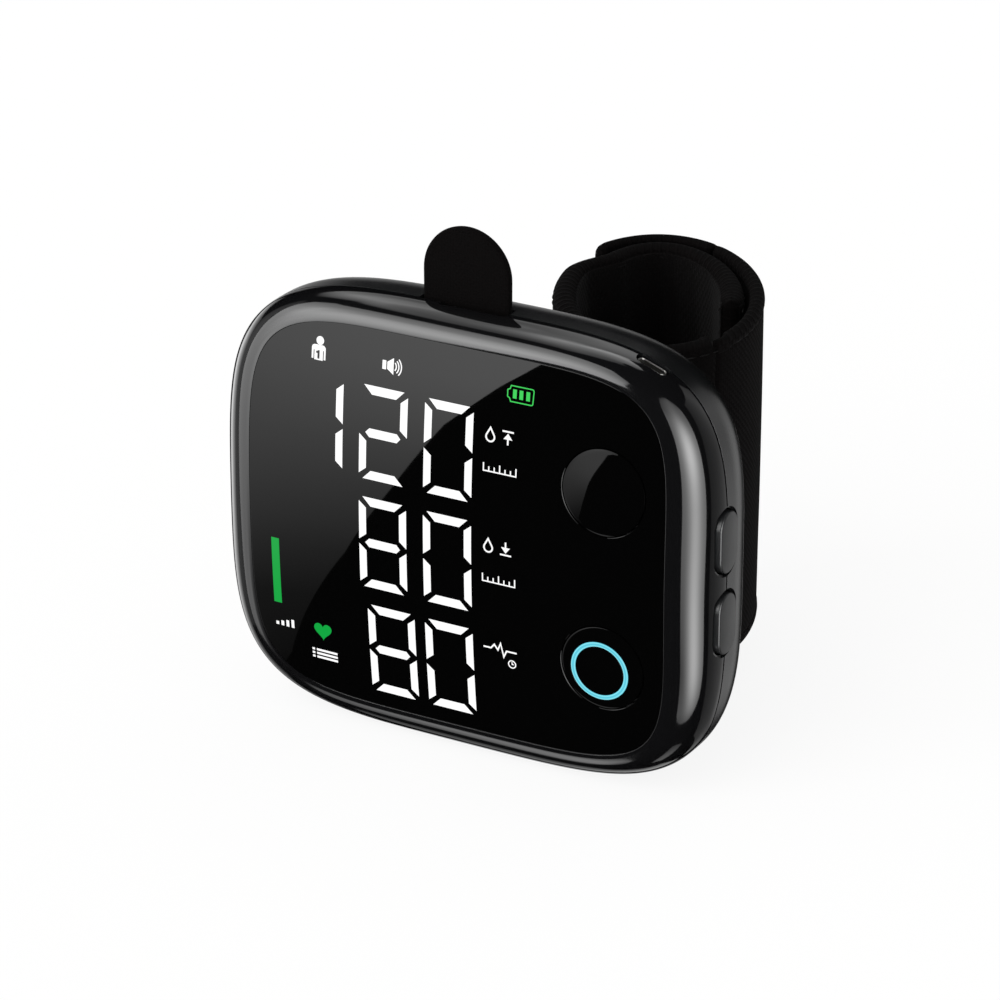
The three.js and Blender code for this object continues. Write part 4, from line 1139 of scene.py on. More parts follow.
signs_left = 5.5
signs_right = 11.25
drop_x = 6.6
arrow_x = 9.6
beat = [(0, 0), (1.3, 0), (1.9, 0.7), (2.5, -0.1), (3.0, 1.1), (3.5, -1.1), (4.0, 0), (5.75, 0)]
beat_level = -16.0
clock_x, clock_z = 10.4, -18.05
pressure_signs = []
for level, way, scale_level in ((19.0, 1, 13.2), (1.2, -1, -4.8)):
    pressure_signs.append(drop_sign(drop_x, level))
    pressure_signs += arrow_sign(arrow_x, level, way)
    pressure_signs += scale_sign(signs_left, signs_right, scale_level)
pressure_signs += [
    stroke([(signs_left + x, z + beat_level) for x, z in beat], thin),
    stroke(arc((clock_x, clock_z), 0.62, 0, 345, 23), 0.18, True),
    stroke([(clock_x, clock_z + 0.4), (clock_x, clock_z), (clock_x + 0.3, clock_z)], 0.16),
]
film("pressure_signs", pressure_signs, white_light)

# A list for the memory, and a row of rising bars under the level bar
list_line = 0.36
list_levels = (-24.25, -24.9, -25.55)
rising_left, rising_low, rising_pitch, rising_width = -32.3, -21.3, 0.95, 0.5
film("memory_signs", [
    *(bar(-25.8, z, -25.35, z + list_line) for z in list_levels),
    *(bar(-25.0, z, -21.2, z + list_line) for z in list_levels),
    *(
        bar(x, rising_low, x + rising_width, rising_low + 0.55 + 0.28 * k)
        for k, x in ((k, rising_left + rising_pitch * k) for k in range(4))
    ),
], white_light)

# Front keys: round caps turned from black acrylic, each with a fine chamfer. The upper one
# is slightly domed, the lower one follows the bow of the lens. It carries a ring that glows
# cyan, a little below and to the left of the middle of its face.
key_chamfer = 0.12
memory_crown = 0.48
ring_outer = 4.83
ring_inner = 4.06
ring_place = (start_place[0] - 0.49, start_place[1] - 0.62)
ring_depth = 0.6
groove_edge = 0.05
stem_radius = 1.6
key_flange = 0.9
flange_thickness = 0.8
key_travel = 0.4
switch_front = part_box("key_switch_1")[0].y
stem_end = (switch_front - lens_low.y) / MM - key_travel - seat

# Rubbed acrylic: the lens's black, a little duller where fingers press.
rubbed_acrylic = plastic("rubbed_acrylic", "#030303", 0.03, 0.01, 5.0, 0.0003, 1.49, 0.08)


ring_groove = [
    lens_circle(ring_place, radius, depth)
    for radius, depth in (
        (ring_inner - groove_edge, 0), (ring_inner, groove_edge), (ring_inner, ring_depth),
        (ring_outer, ring_depth), (ring_outer, groove_edge), (ring_outer + groove_edge, 0),
    )
]


def key_cap(name, centre):
    """A bowed cap with its chamfer, the flange behind the lens and the stem."""
    flange_radius = key_radius + key_flange
    flange_bow = sag(centre[0] + flange_radius, abs(centre[1]) + flange_radius)
    flange_front = flange_bow + lens_thickness + gap
    crown = memory_crown if name == "memory_cap" else 0

    def domed(*shares):
        """Circles of the face, which rises by the crown to its middle."""
        return [
            lens_circle(centre, key_radius * share, -crown * (1 - share ** 2)) for share in shares
        ]

    rings = [
        *domed(0.1, 0.2, 0.3, 0.4),
        *(ring_groove if name == "start_cap" else domed(0.5, 0.6, 0.7, 0.8)),
        *domed(0.9, 0.95),
        lens_circle(centre, key_radius - key_chamfer, 0),
        lens_circle(centre, key_radius - key_chamfer * round_share, key_chamfer * round_share),
        lens_circle(centre, key_radius, key_chamfer),
    ]
    for radius, depth in (
        (key_radius, flange_front), (flange_radius, flange_front),
        (flange_radius, flange_front + flange_thickness), (stem_radius, flange_front + flange_thickness),
        (stem_radius, stem_end),
    ):
        rings.append([Vector((point.x, depth, point.z)) for point in lens_circle(centre, radius, 0)])
    tips = ((centre[0], sag(*centre) - crown, centre[1]), (centre[0], stem_end, centre[1]))
    return piece(name, *skin(rings, False, tips), rubbed_acrylic, 25)


for name, node, body, centre in (
    ("memory_cap", "memory_button", "memory_key", memory_place),
    ("start_cap", "start_button", "start_key", start_place),
):
    cap = key_cap(name, centre)
    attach(cap, body)
    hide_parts(node)

# Light ring: a clear ring lit from below, pressed into the cap just under its face. It glows
# brighter along both its edges.
cyan_light = lit_film("cyan_light", "#5FCDE2", 1.0)
edge_light = lit_film("edge_light", "#8CE8F5", 1.0)
ring_sink = 0.02
ring_play = 0.02
ring_shoulder = 0.08
ring_crown = 0.03
ring_edge_width = 0.14
ring_middle = mix(ring_inner, ring_outer, 0.5)
ring_foot = ring_depth - groove_edge
ring_side = ring_sink + ring_shoulder - ring_play
light_ring = piece("light_ring", *skin([
    lens_circle(ring_place, radius, depth)
    for radius, depth in (
        (ring_inner + ring_play, ring_foot), (ring_inner + ring_play, ring_side),
        (ring_inner + ring_shoulder, ring_sink), (ring_middle, ring_sink - ring_crown),
        (ring_outer - ring_shoulder, ring_sink), (ring_outer - ring_play, ring_side),
        (ring_outer - ring_play, ring_foot),
    )
]), cyan_light)
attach(light_ring, "start_key")
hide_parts("start_ring")
ring_edge_low = ring_sink + ring_play
ring_edge_face = ring_sink - ring_crown
for name, inside in (
    ("ring_inner_edge", ring_inner + ring_shoulder),
    ("ring_outer_edge", ring_outer - ring_shoulder - ring_edge_width),
):
    outside = inside + ring_edge_width
    edge = piece(name, *skin([
        lens_circle(ring_place, radius, depth)
        for radius, depth in (
            (inside, ring_edge_low), (inside, ring_edge_face),
            (outside, ring_edge_face), (outside, ring_edge_low),
        )
    ]), edge_light)
    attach(edge, "start_key")

# Side keys: two satin capsules that stand out of wells in the right flank, moulded in
# ABS, each with a rounded edge, a slight crown and a flange that keeps it in.
side_face = girth_half_width + 0.5
side_round = 0.35
side_crown = 0.12
round_steps = 8
side_flange = 0.8
flange_round = 0.1
side_flange_front = lip_inner - gap
side_cap_end = side_flange_front - side_flange

# Satin ABS: matt enough to stay darker than the gloss beside it.
satin_key_abs = plastic("satin_key_abs", "#161718", 0.34, 0.03, 0.3, 0.004, 1.52)

side_profile = [
    (side_flange - flange_round, side_cap_end), (side_flange, side_cap_end + flange_round),
    (side_flange, side_flange_front - flange_round), (side_flange - flange_round, side_flange_front),
    (0, side_flange_front),
]
for turn in (math.pi / 2 * k / round_steps for k in range(round_steps + 1)):
    rise = side_round * (1 - math.sin(turn))
    side_profile.append((side_round * (math.cos(turn) - 1), side_face - side_crown - rise))
for inset, crown_share in ((0.5, 0.6), (1.3, 0.15)):
    side_profile.append((-side_round - inset, side_face - side_crown * crown_share))
for name, node, body, level in (
    ("upper_side_cap", "side_button_upper", "upper_side_key", side_key_levels[0]),
    ("lower_side_cap", "side_button_lower", "lower_side_key", side_key_levels[1]),
):
    rings = []
    for margin, x in side_profile:
        outline = capsule(side_key_half_height + margin, side_key_half_width + margin, 64)
        rings.append([Vector((x, seam_depth + b, level + a)) for a, b in outline])
    ends = ((side_cap_end, seam_depth, level), (side_face, seam_depth, level))
    cap = piece(name, *skin(rings, False, ends), satin_key_abs)
    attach(cap, body)
    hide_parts(node)

# Tongue: a tab of black woven webbing with heat-sealed edges. It stands in the slot at
# the top of the seam, where its wide foot holds it, and a glossy bar closes the slot.
tongue_half = tongue_width / 2
tongue_height = 14.6
tongue_top = tongue_foot + tongue_height
foot_half = 8.5
foot_height = 1.5
tongue_round = 0.45


def woven(name, colour, thread, relief, fuzz, sheen):
    """Plain weave on a UV map in millimetres: warp over weft, square by square, its colour painted darker
    as shade in the hollows and lighter as a highlight on the crowns of the threads.
    """
    made, tree = new_material(name)
    place = add(tree, "ShaderNodeUVMap", uv_map="thread_map")
    squares = add(tree, "ShaderNodeTexChecker", {"Vector": place.outputs["UV"], "Scale": 1 / thread})
    along = add(tree, "ShaderNodeSeparateXYZ", {"Vector": place.outputs["UV"]})
    threads = []
    for axis in ("X", "Y"):
        phase = add(
            tree, "ShaderNodeMath", {0: along.outputs[axis], 1: math.pi / thread}, operation="MULTIPLY"
        )
        wave = add(tree, "ShaderNodeMath", {0: phase.outputs[0]}, operation="SINE")
        threads.append(add(tree, "ShaderNodeMath", {0: wave.outputs[0]}, operation="ABSOLUTE"))
    over = add(tree, "ShaderNodeMix", {
        "Factor": squares.outputs["Fac"], "A": threads[0].outputs[0], "B": threads[1].outputs[0],
    })
    nap = add(tree, "ShaderNodeTexNoise", {
        "Vector": place.outputs["UV"], "Scale": 1 / (thread * 0.6), "Detail": 2.0,
    })
    height = add(tree, "ShaderNodeMix", {
        "Factor": fuzz, "A": over.outputs["Result"], "B": nap.outputs["Fac"],
    })
    bump = add(tree, "ShaderNodeBump", {
        "Height": height.outputs["Result"], "Strength": 1.0, "Distance": relief * MM,
    })
    # Painted shade and highlight: the base colour is multiplied down to 0.45 where the weave is low, in
    # the hollows between threads, and up to 1.35 on the thread crowns; the nap's share of the height is
    # random tone.
    weave_painted_shade = add(tree, "ShaderNodeMapRange", {
        "Value": height.outputs["Result"], "To Min": 0.45, "To Max": 1.35,
    })
    painted_shade_colour = add(tree, "ShaderNodeMix", {
        0: 1.0, 6: linear(colour), 7: weave_painted_shade.outputs["Result"],
    }, data_type="RGBA", blend_type="MULTIPLY")
    shade = add(tree, "ShaderNodeBsdfPrincipled", {
        "Base Color": painted_shade_colour.outputs[2], "Roughness": 0.9, "Specular IOR Level": 0.03,
        "Sheen Weight": sheen, "Sheen Roughness": 0.5, "Normal": bump.outputs["Normal"],
    })
    add(tree, "ShaderNodeOutputMaterial", {"Surface": shade.outputs[0]})
    return made


def give_threads(made, place_of):
    """UV map in millimetres for a weave, from a function of a point."""
    layer = made.data.uv_layers.new(name="thread_map")
    mesh = made.data
    for face in mesh.polygons:
        first = None
        for corner in face.loop_indices:
            point = (mesh.vertices[mesh.loops[corner].vertex_index].co - lens_middle) / MM
            u, v, period = place_of(point)
            if first is None:
                first = u
            if period and abs(u - first) > period / 2:
                u += math.copysign(period, first - u)
            layer.data[corner].uv = (u, v)


# Polyester webbing: dull black, its threads only just showing against the light.
black_webbing = woven("black_webbing", "#040303", 0.5, 0.05, 0.25, 0.008)
tongue_outline = [
    (foot_half, tongue_foot - foot_height), (foot_half, tongue_foot), (tongue_half, tongue_foot),
    *arc((0, tongue_top - tongue_half), tongue_half, 0, 180, 40),
    (-tongue_half, tongue_foot), (-foot_half, tongue_foot), (-foot_half, tongue_foot - foot_height),
]
tongue_centre = (0, tongue_foot - 0.4)


def tongue_ring(inset, depth):
    """Outline of the tongue drawn in towards its foot, at one depth."""
    ring = []
    for x, z in tongue_outline:
        away = Vector((x - tongue_centre[0], z - tongue_centre[1]))
        drawn = away * max(1 - inset / away.length, 0)
        ring.append(Vector((tongue_x + drawn.x, depth, tongue_centre[1] + drawn.y)))
    return ring


tongue_back = tongue_front + tongue_thickness
tongue_insets = (14, 10, 6, 3, 1)
tongue_rings = [tongue_ring(inset, tongue_front) for inset in tongue_insets]
for turn in (math.pi * k / 6 for k in range(7)):
    inset = tongue_round * (1 - math.sin(turn))
    depth = mix(tongue_front, tongue_back, (1 - math.cos(turn)) / 2)
    tongue_rings.append(tongue_ring(inset, depth))
tongue_rings += [tongue_ring(inset, tongue_back) for inset in reversed(tongue_insets)]
tongue_ends = [(tongue_x, depth, tongue_centre[1]) for depth in (tongue_front, tongue_back)]
tongue = piece("webbing_tongue", *skin(tongue_rings, False, tongue_ends), black_webbing)
give_threads(tongue, lambda point: (point.x, point.z, 0))
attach(tongue, "device")
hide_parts("strap_tongue")


def rounded(made, radius, segments=4):
    """Round over all the edges of a piece."""
    shape = bmesh.new()
    shape.from_mesh(made.data)
    bmesh.ops.bevel(
        shape, geom=shape.edges, offset=radius * MM, segments=segments, profile=0.5, affect="EDGES"
    )
    shape.to_mesh(made.data)
    shape.free()
    made.data.shade_smooth()
    return made


latch_round = 0.22
latch_bar = rounded(piece("latch_bar", *block(
    (-latch_half_width, latch_front, latch_top - latch_height),
    (latch_half_width, latch_front + latch_thickness, latch_top),
), gloss_abs), latch_round)
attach(latch_bar, "device")
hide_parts("tongue_latch")

# Charging port: a small drawn steel shell with rolled lips, square to the surface just in
# front of the seam, round a black plate that carries the contacts on both its faces.
port_wall = 0.3
port_sink = 0.7
port_end = -port_depth - port_sink
port_floor = port_end + port_wall
lip_outside = 0.15
lip_turn = 0.12
lip_inside = 0.1
floor_half_height = 0.2
port_profile = [
    (0, port_end), (0, -port_sink - lip_outside), (-lip_turn, -port_sink),
    (lip_inside - port_wall, -port_sink), (-port_wall, -port_sink - lip_turn), (-port_wall, port_floor),
    (floor_half_height - port_half_height, port_floor),
]


def metal(name, colour, rough, grain, stretch):
    """Bare metal with fine lines left by its making, drawn out along X."""
    made, tree = new_material(name)
    place = add(tree, "ShaderNodeTexCoord")
    turned = add(tree, "ShaderNodeMapping", {
        "Vector": place.outputs["Object"], "Scale": (1 / stretch, 1, 1),
    })
    lines = add(tree, "ShaderNodeTexNoise", {
        "Vector": turned.outputs["Vector"], "Scale": 1 / (grain * MM), "Detail": 2.0,
    })
    gloss = add(tree, "ShaderNodeMapRange", {
        "Value": lines.outputs["Fac"], "To Min": rough * 0.7, "To Max": rough * 1.3,
    })
    bump = add(tree, "ShaderNodeBump", {
        "Height": lines.outputs["Fac"], "Strength": 1.0, "Distance": 0.002 * MM,
    })
    shade = add(tree, "ShaderNodeBsdfPrincipled", {
        "Base Color": linear(colour), "Metallic": 1.0, "Roughness": gloss.outputs["Result"],
        "Normal": bump.outputs["Normal"],
    })
    add(tree, "ShaderNodeOutputMaterial", {"Surface": shade.outputs[0]})
    return made


# Nickel-plated steel: grey and slightly warm in the shade of its mouth, with faint drawn lines.
plated_steel = metal("plated_steel", "#9A9996", 0.3, 0.12, 12)
port_shell = piece(
    "port_shell", *port_tube(port_half_width, port_half_height, port_profile, 56), plated_steel
)
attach(port_shell, "device")
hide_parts("charge_socket")

# Glass-filled nylon: matt, and greyer than the shells where its fibres show.
contact_nylon = plastic("contact_nylon", "#17181A", 0.5, 0.05, 0.2, 0.006, 1.53)
plate_half_width = port_half_width - 0.9
plate_half_height = 0.25
plate_root = 0.1
plate_end = -port_sink - 1.0
plate_profile = [(0, port_floor - plate_root), (0, plate_end - lip_inside), (-lip_turn, plate_end)]
port_plate = piece(
    "port_plate", *port_tube(plate_half_width, plate_half_height, plate_profile, 32), contact_nylon
)
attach(port_plate, "device")

# Gold contacts: five flat strips on each face of the plate.
contact_gold = metal("contact_gold", "#D9B25A", 0.25, 0.2, 6)
contact_count = 5
contact_half_width = 0.1
contact_row_half = plate_half_width - 0.35
contact_low = plate_half_height - 0.02
contact_high = plate_half_height + 0.04
contact_end = plate_end - 0.5
contact_points = []
contact_faces = []
for side in (-1, 1):
    for k in range(contact_count):
        across = mix(-contact_row_half, contact_row_half, k / (contact_count - 1))
        strip, strip_faces = block(
            (across - contact_half_width, contact_low, port_floor),
            (across + contact_half_width, contact_high, contact_end),
        )
        contact_faces += [tuple(len(contact_points) + i for i in face) for face in strip_faces]
        contact_points += [port_place(a, side * b, height) for a, b, height in strip]
port_contacts = piece("port_contacts", contact_points, contact_faces, contact_gold)
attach(port_contacts, "device")

# Saddle: a moulded nylon block, screwed from inside to the back, hollowed to the curve of
# the cuff that is riveted and glued into it. The air nipple passes through it.
loop_x = 9.8
loop_half_short = 16.5
loop_half_long = 26.0
loop_turn = math.radians(27)
loop_reach = math.hypot(loop_half_short * math.sin(loop_turn), loop_half_long * math.cos(loop_turn))
loop_clearance = 3.52
loop_y = back_depth + loop_clearance + loop_reach
band_low = -28.0
band_high = 27.0


def loop_point(degrees, inset, z=0.0):
    """Point on the cuff: an oval seen from above and turned, moved in by an inset."""
    turn = math.radians(degrees)
    across = loop_half_short * math.cos(turn)
    along = loop_half_long * math.sin(turn)
    normal = Vector((across / loop_half_short ** 2, along / loop_half_long ** 2)).normalized()
    x = across - normal.x * inset
    y = along - normal.y * inset
    c, s = math.cos(loop_turn), math.sin(loop_turn)
    return Vector((loop_x + c * x - s * y, loop_y + s * x + c * y, z))


saddle_thickness = 6.4
saddle_front = back_depth + seat
saddle_back = saddle_front + saddle_thickness
saddle_half_width = 13.5
saddle_half_height = 20.0
saddle_corner = 4.0
saddle_round = 0.8
saddle_chamfer = 0.2
saddle_pilot_depth = 2.2
saddle_corners = [
    (x * (saddle_half_width - saddle_corner), z * (saddle_half_height - saddle_corner), start)
    for x, z, start in ((1, 1, 0), (-1, 1, 90), (-1, -1, 180), (1, -1, 270))
]


def saddle_ring(inset, depth):
    """Outline of the saddle block, drawn in, at one depth."""
    return [
        Vector((nipple_x + x, depth, z - girth_drop))
        for middle_x, middle_z, start in saddle_corners
        for x, z in arc((middle_x, middle_z), saddle_corner - inset, start, start + 90, 10)
    ]


saddle_rings = [saddle_ring(saddle_chamfer, saddle_front), saddle_ring(0, saddle_front + saddle_chamfer)]
for turn in (math.pi / 2 * k / 7 for k in range(8)):
    inset = saddle_round * (1 - math.cos(turn))
    saddle_rings.append(saddle_ring(inset, saddle_back - saddle_round * (1 - math.sin(turn))))
saddle = piece("moulded_saddle", *skin(
    saddle_rings, False, ((nipple_x, saddle_front, -girth_drop), (nipple_x, saddle_back, -girth_drop))
), contact_nylon)
hollow_steps = 180
hollow_rings = [
    [loop_point(360 * k / hollow_steps, -gap, z) for k in range(hollow_steps)]
    for z in (band_low, band_high)
]
carve(saddle, [
    skin(hollow_rings, False, ((loop_x, loop_y, band_low), (loop_x, loop_y, band_high))),
    rod((nipple_x, nipple_z), nipple_radius + gap, saddle_front - overrun, saddle_back),
    *(
        rod(centre, pilot_radius, saddle_front - overrun, saddle_front + saddle_pilot_depth)
        for centre in saddle_screws
    ),
])
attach(saddle, "device")
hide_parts("cuff_saddle")

# Cuff wrap: the part of the cuff fixed to the saddle. A springy plastic sheet and a thin
# air bladder lie between a black nylon cover and a soft lining. They are sewn together
# under a binding tape, and the wrap's tail runs on under the free end of the strap.
wrap_start = 304.0
wrap_end = -10.0
hinge_angle = -50.0
peel_angle = 60.0
free_angle = 130.0
settle_angle = 158.0
cover_thickness = 0.8
curler_start = 1.1
curler_thickness = 0.5
curler_margin = 3.5
sheet_setback = 6.0
bladder_start = 1.9
bladder_thickness = 0.35
bladder_margin = 4.0
bladder_setback = 12.0
lining_start = 3.05
lining_thickness = 0.6
flap_thickness = 2.0
hook_thickness = 0.6
overlap_gap = 0.5
overlap_inset = flap_thickness + hook_thickness + overlap_gap
binding_height = 2.4
binding_proud = 0.2
band_middle = (band_low + band_high) / 2
band_half = (band_high - band_low) / 2
run_per_degree = 0.36

# Nylon cover cloth: near black, its plain weave just showing, with a little nap.
cover_nylon = woven("cover_nylon", "#040303", 0.55, 0.07, 0.35, 0.006)
# Knitted lining: softer and mattress-like, it catches a little more light at its edges.
lining_knit = woven("lining_knit", "#060505", 0.8, 0.12, 0.6, 0.02)
# Grosgrain binding: coarse ribs across the tape, pulled tight over the edge.
binding_tape = woven("binding_tape", "#040303", 0.9, 0.1, 0.15, 0.006)

oval_steps = 720
oval_run = [0.0]
for step in range(oval_steps):
    stretch = loop_point(360 * (step + 1) / oval_steps, 0) - loop_point(360 * step / oval_steps, 0)
    oval_run.append(oval_run[-1] + stretch.length)


def oval_place(point):
    """Run along the cuff and height of a point, in millimetres, with the length of the oval."""
    dx, dy = point.x - loop_x, point.y - loop_y
    c, s = math.cos(loop_turn), math.sin(loop_turn)
    turn = math.atan2((c * dy - s * dx) / loop_half_long, (c * dx + s * dy) / loop_half_short)
    share = (turn / (2 * math.pi)) % 1
    return oval_run[int(share * oval_steps)], point.z, oval_run[-1]


def smooth_step(value, low, high):
    """A share that rises smoothly from 0 at low to 1 at high."""
    share = min(max((value - low) / (high - low), 0), 1)
    return share * share * (3 - 2 * share)


def wrap_inset(degrees):
    """How far the wrap dips to run under the free end."""
    return overlap_inset * (1 - smooth_step(degrees, free_angle + 3, settle_angle))


def ripple(degrees, z):
    """Small unevenness of sewn cloth, between -1 and 1."""
    run = math.radians(degrees) * 20
    return (
        0.5 * math.sin(run * 0.31 + z * 0.07 + 0.6) + 0.3 * math.sin(run * 0.83 - z * 0.19 + 2.1)
        + 0.2 * math.sin(run * 0.17 + z * 0.33 + 4.0)
    )


def layer_at(depth):
    """Inset of a layer of the wrap that lies at a depth below its face."""
    return lambda degrees: wrap_inset(degrees) + depth


def round_edge(distance, half):
    """Share of its full thickness that a half-round edge has at a distance from its tip."""
    return math.sqrt(max(1 - max(1 - distance / half, 0) ** 2, 0))


edge_least = 0.03
end_least = math.sqrt(0.02)
swell_run = 4.0
pillow_power = 0.6
ripple_share = 0.25


def cloth_band(name, angles, levels, outer, thickness, finish, swell=(0, 0), corner=0, rows=26, step=1.6):
    """Band of cloth on the oval, with rounded edges, swelling by swell outwards and inwards."""
    start, end = angles
    low, high = levels
    count = max(int(abs(end - start) / step), 4)
    rings = []
    for i in range(count + 1):
        share = i / count
        degrees = mix(start, end, share)
        here = outer(degrees) if callable(outer) else outer
        thick = thickness(degrees) if callable(thickness) else thickness
        half = thick / 2
        to_end = (1 - share) * abs(end - start) * run_per_degree
        from_start = share * abs(end - start) * run_per_degree
        trim = corner - math.sqrt(corner ** 2 - max(corner - to_end, 0) ** 2) if corner else 0
        edge = min(to_end, from_start)
        fine = max(round_edge(edge, half), end_least)
        top, bottom = high - trim, low + trim
        profile = []
        for k in range(rows + 1):
            turn = math.pi * k / rows
            z = mix(bottom, top, (1 - math.cos(turn)) / 2)
            near = min(z - bottom, top - z)
            profile.append((z, max(round_edge(near, half), edge_least) * half * fine))
        ring = []
        for side, steps, amount in ((-1, profile, swell[0]), (1, profile[::-1], swell[1])):
            for z, reach in steps:
                pillow = max(1 - ((z - band_middle) / band_half) ** 2, 0) ** pillow_power
                uneven = 1 - ripple_share + ripple_share * ripple(degrees, z)
                puff = amount * pillow * uneven * min(edge / swell_run, 1)
                ring.append(loop_point(degrees, here + half + side * (reach + puff), z))
        rings.append(ring)
    tips = [sum(ring, Vector((0, 0, 0))) / len(ring) for ring in (rings[0], rings[-1])]
    made = piece(name, *skin(rings, False, tips), finish, 50)
    give_threads(made, oval_place)
    return made


inner_levels = (band_low + 1.0, band_high - 1.0)
wrap_angles = (wrap_end, wrap_start)
cover = cloth_band(
    "cover_cloth", wrap_angles, inner_levels, wrap_inset, cover_thickness, cover_nylon, (0.15, 0)
)
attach(cover, "device")
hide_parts("cuff_cover")

# Curler: a sheet of polypropylene, cut out and sprung to the oval, which keeps the wrap open
# for the wrist. It lies loose between the cover and the bladder.
sprung_polypropylene = plastic("sprung_polypropylene", "#C9CCCD", 0.4, 0.06, 3.0, 0.004, 1.49)
curler = cloth_band(
    "curler_sheet", (wrap_end + sheet_setback, wrap_start - sheet_setback),
    (band_low + curler_margin, band_high - curler_margin),
    layer_at(curler_start), curler_thickness, sprung_polypropylene, rows=12,
)
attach(curler, "device")
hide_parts("cuff_curler")

# Bladder: two films of TPU welded round their edge, nearly flat while it holds no air. The
# nipple of the housing fills it through the saddle.
tpu_film = plastic("tpu_film", "#26292C", 0.35, 0.05, 1.0, 0.01, 1.5)
bladder = cloth_band(
    "welded_bladder", (wrap_end + bladder_setback, wrap_start - sheet_setback),
    (band_low + bladder_margin, band_high - bladder_margin),
    layer_at(bladder_start), bladder_thickness, tpu_film, (0.12, 0.3),
)
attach(bladder, "device")
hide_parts("cuff_bladder")

# Lining: the soft knit that touches the skin. It is sewn to the cover all round, and swells
# a little between the seams.
lining = cloth_band(
    "lining_cloth", wrap_angles, inner_levels,
    layer_at(lining_start), lining_thickness, lining_knit, (-0.25, 0.9),
)
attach(lining, "device")
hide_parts("cuff_lining")

# Binding: grosgrain tape folded over both edges of the wrap, its tail and its mouth, and sewn
# through all the layers.
wrap_thickness = lining_start + lining_thickness + 2 * binding_proud
edge_levels = ((band_low, band_low + binding_height), (band_high - binding_height, band_high))
bindings = [
    cloth_band(
        f"wrap_binding_{i + 1}", wrap_angles, levels,
        layer_at(-binding_proud), wrap_thickness, binding_tape, rows=12,
    )
    for i, levels in enumerate(edge_levels)
]
end_proud = 1.0
end_cover = 5.0
bindings.append(cloth_band(
    "tail_binding", (wrap_end - end_proud, wrap_end + end_cover), (band_low, band_high),
    layer_at(-binding_proud), wrap_thickness, binding_tape, rows=40, step=0.5,
))
bindings.append(cloth_band(
    "mouth_binding", (wrap_start - end_cover, wrap_start + end_proud), (band_low, band_high),
    cover_thickness, wrap_thickness - cover_thickness - binding_proud, binding_tape, rows=40, step=0.5,
))
for tape in bindings:
    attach(tape, "device")

# Strap: the side panel swings open at a sewn hinge line, and the free end peels back from
# the wrap's tail. Both are two plies of the cover cloth round a stiff felt, and bound.
bend_half = 6.0


def along_hinge(made):
    """Bake the placement of a piece of the side panel into its mesh."""
    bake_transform(made)


def along_peel(made):
    """Bake the placement of a piece of the free end into its mesh."""
    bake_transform(made)


def panel_thickness(degrees):
    """Thin at the hinge line, where only the cover cloth goes through."""
    grown = smooth_step(degrees, hinge_angle, hinge_angle + bend_half)
    return mix(cover_thickness, flap_thickness, grown)


free_corner = 4.0
binding_lap = 1.5
panel_angles = (wrap_start - 360, peel_angle - bend_half)
free_angles = (peel_angle - bend_half, free_angle)
side_panel = cloth_band(
    "panel_cloth", panel_angles, inner_levels, 0, panel_thickness, cover_nylon, (0.15, 0.1)
)
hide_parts("cuff_side_panel")
along_hinge(side_panel)
free_end = cloth_band(
    "free_end_cloth", free_angles, inner_levels, 0, flap_thickness, cover_nylon, (0.1, 0),
    corner=free_corner,
)
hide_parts("cuff_free_end")
along_peel(free_end)
for i, levels in enumerate(edge_levels):
    along_hinge(cloth_band(
        f"panel_binding_{i + 1}", (panel_angles[0] - binding_lap, panel_angles[1]), levels, -binding_proud,
        lambda degrees: panel_thickness(degrees) + 2 * binding_proud, binding_tape, rows=12,
    ))
    along_peel(cloth_band(
        f"free_binding_{i + 1}", (free_angles[0], free_angle - 3.0), levels, -binding_proud,
        flap_thickness + 2 * binding_proud, binding_tape, rows=12,
    ))
along_peel(cloth_band(
    "free_end_binding", (free_angle - 5.5, free_angle + 0.5), (band_low, band_high), -binding_proud,
    flap_thickness + 2 * binding_proud, binding_tape, corner=2.0, rows=40, step=0.5,
))

# Hook patch: a woven nylon tape sewn inside the free end. Its hooks, which are set further
# down, grip the cloth of the wrap's tail.
hook_setback = 7.0
hook_angles = (peel_angle + hook_setback, free_angle - hook_setback)
hook_margin = 3.4
hook_levels = (band_low + hook_margin, band_high - hook_margin)
hook_start = flap_thickness + 0.02
hook_base_thickness = 0.22
hook_base = cloth_band(
    "hook_base", hook_angles, hook_levels, hook_start, hook_base_thickness, binding_tape, rows=20,
)
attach(hook_base, "cuff_end")
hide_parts("hook_patch")


# Stitches, hooks and screws: what repeats is set out along a path or on a row of points
# by one small tree each, and comes back as a plain mesh.
def grow(name, base, tree, sizes):
    """Run a tree on a base mesh and keep the result as a plain mesh."""
    made = base
    made.name = name
    modifier = made.modifiers.new("grow", "NODES")
    modifier.node_group = tree
    for socket in tree.interface.items_tree:
        if socket.name in sizes:
            modifier[socket.identifier] = sizes[socket.name]
    graph = bpy.context.evaluated_depsgraph_get()
    done = bpy.data.meshes.new_from_object(made.evaluated_get(graph))
    made.modifiers.clear()
    made.data = done
    done.shade_smooth()
    done.set_sharp_from_angle(angle=math.radians(35))
    return made


def start_tree(name, sizes):
    """A new tree with a mesh in, named sizes, and a mesh out."""
    tree = bpy.data.node_groups.new(name, "GeometryNodeTree")
    tree.interface.new_socket("Base", in_out="INPUT", socket_type="NodeSocketGeometry")
    for label, kind in sizes.items():
        tree.interface.new_socket(label, in_out="INPUT", socket_type=kind)
    tree.interface.new_socket("Result", in_out="OUTPUT", socket_type="NodeSocketGeometry")
    return tree, tree.nodes.new("NodeGroupInput")


def end_tree(tree, given, instances):
    """Make the instances real, and give them their material."""
    real = add(tree, "GeometryNodeRealizeInstances", {"Geometry": instances})
    painted = add(tree, "GeometryNodeSetMaterial", {
        "Geometry": real.outputs["Geometry"], "Material": given.outputs["Material"],
    })
    add(tree, "NodeGroupOutput", {"Result": painted.outputs["Geometry"]})


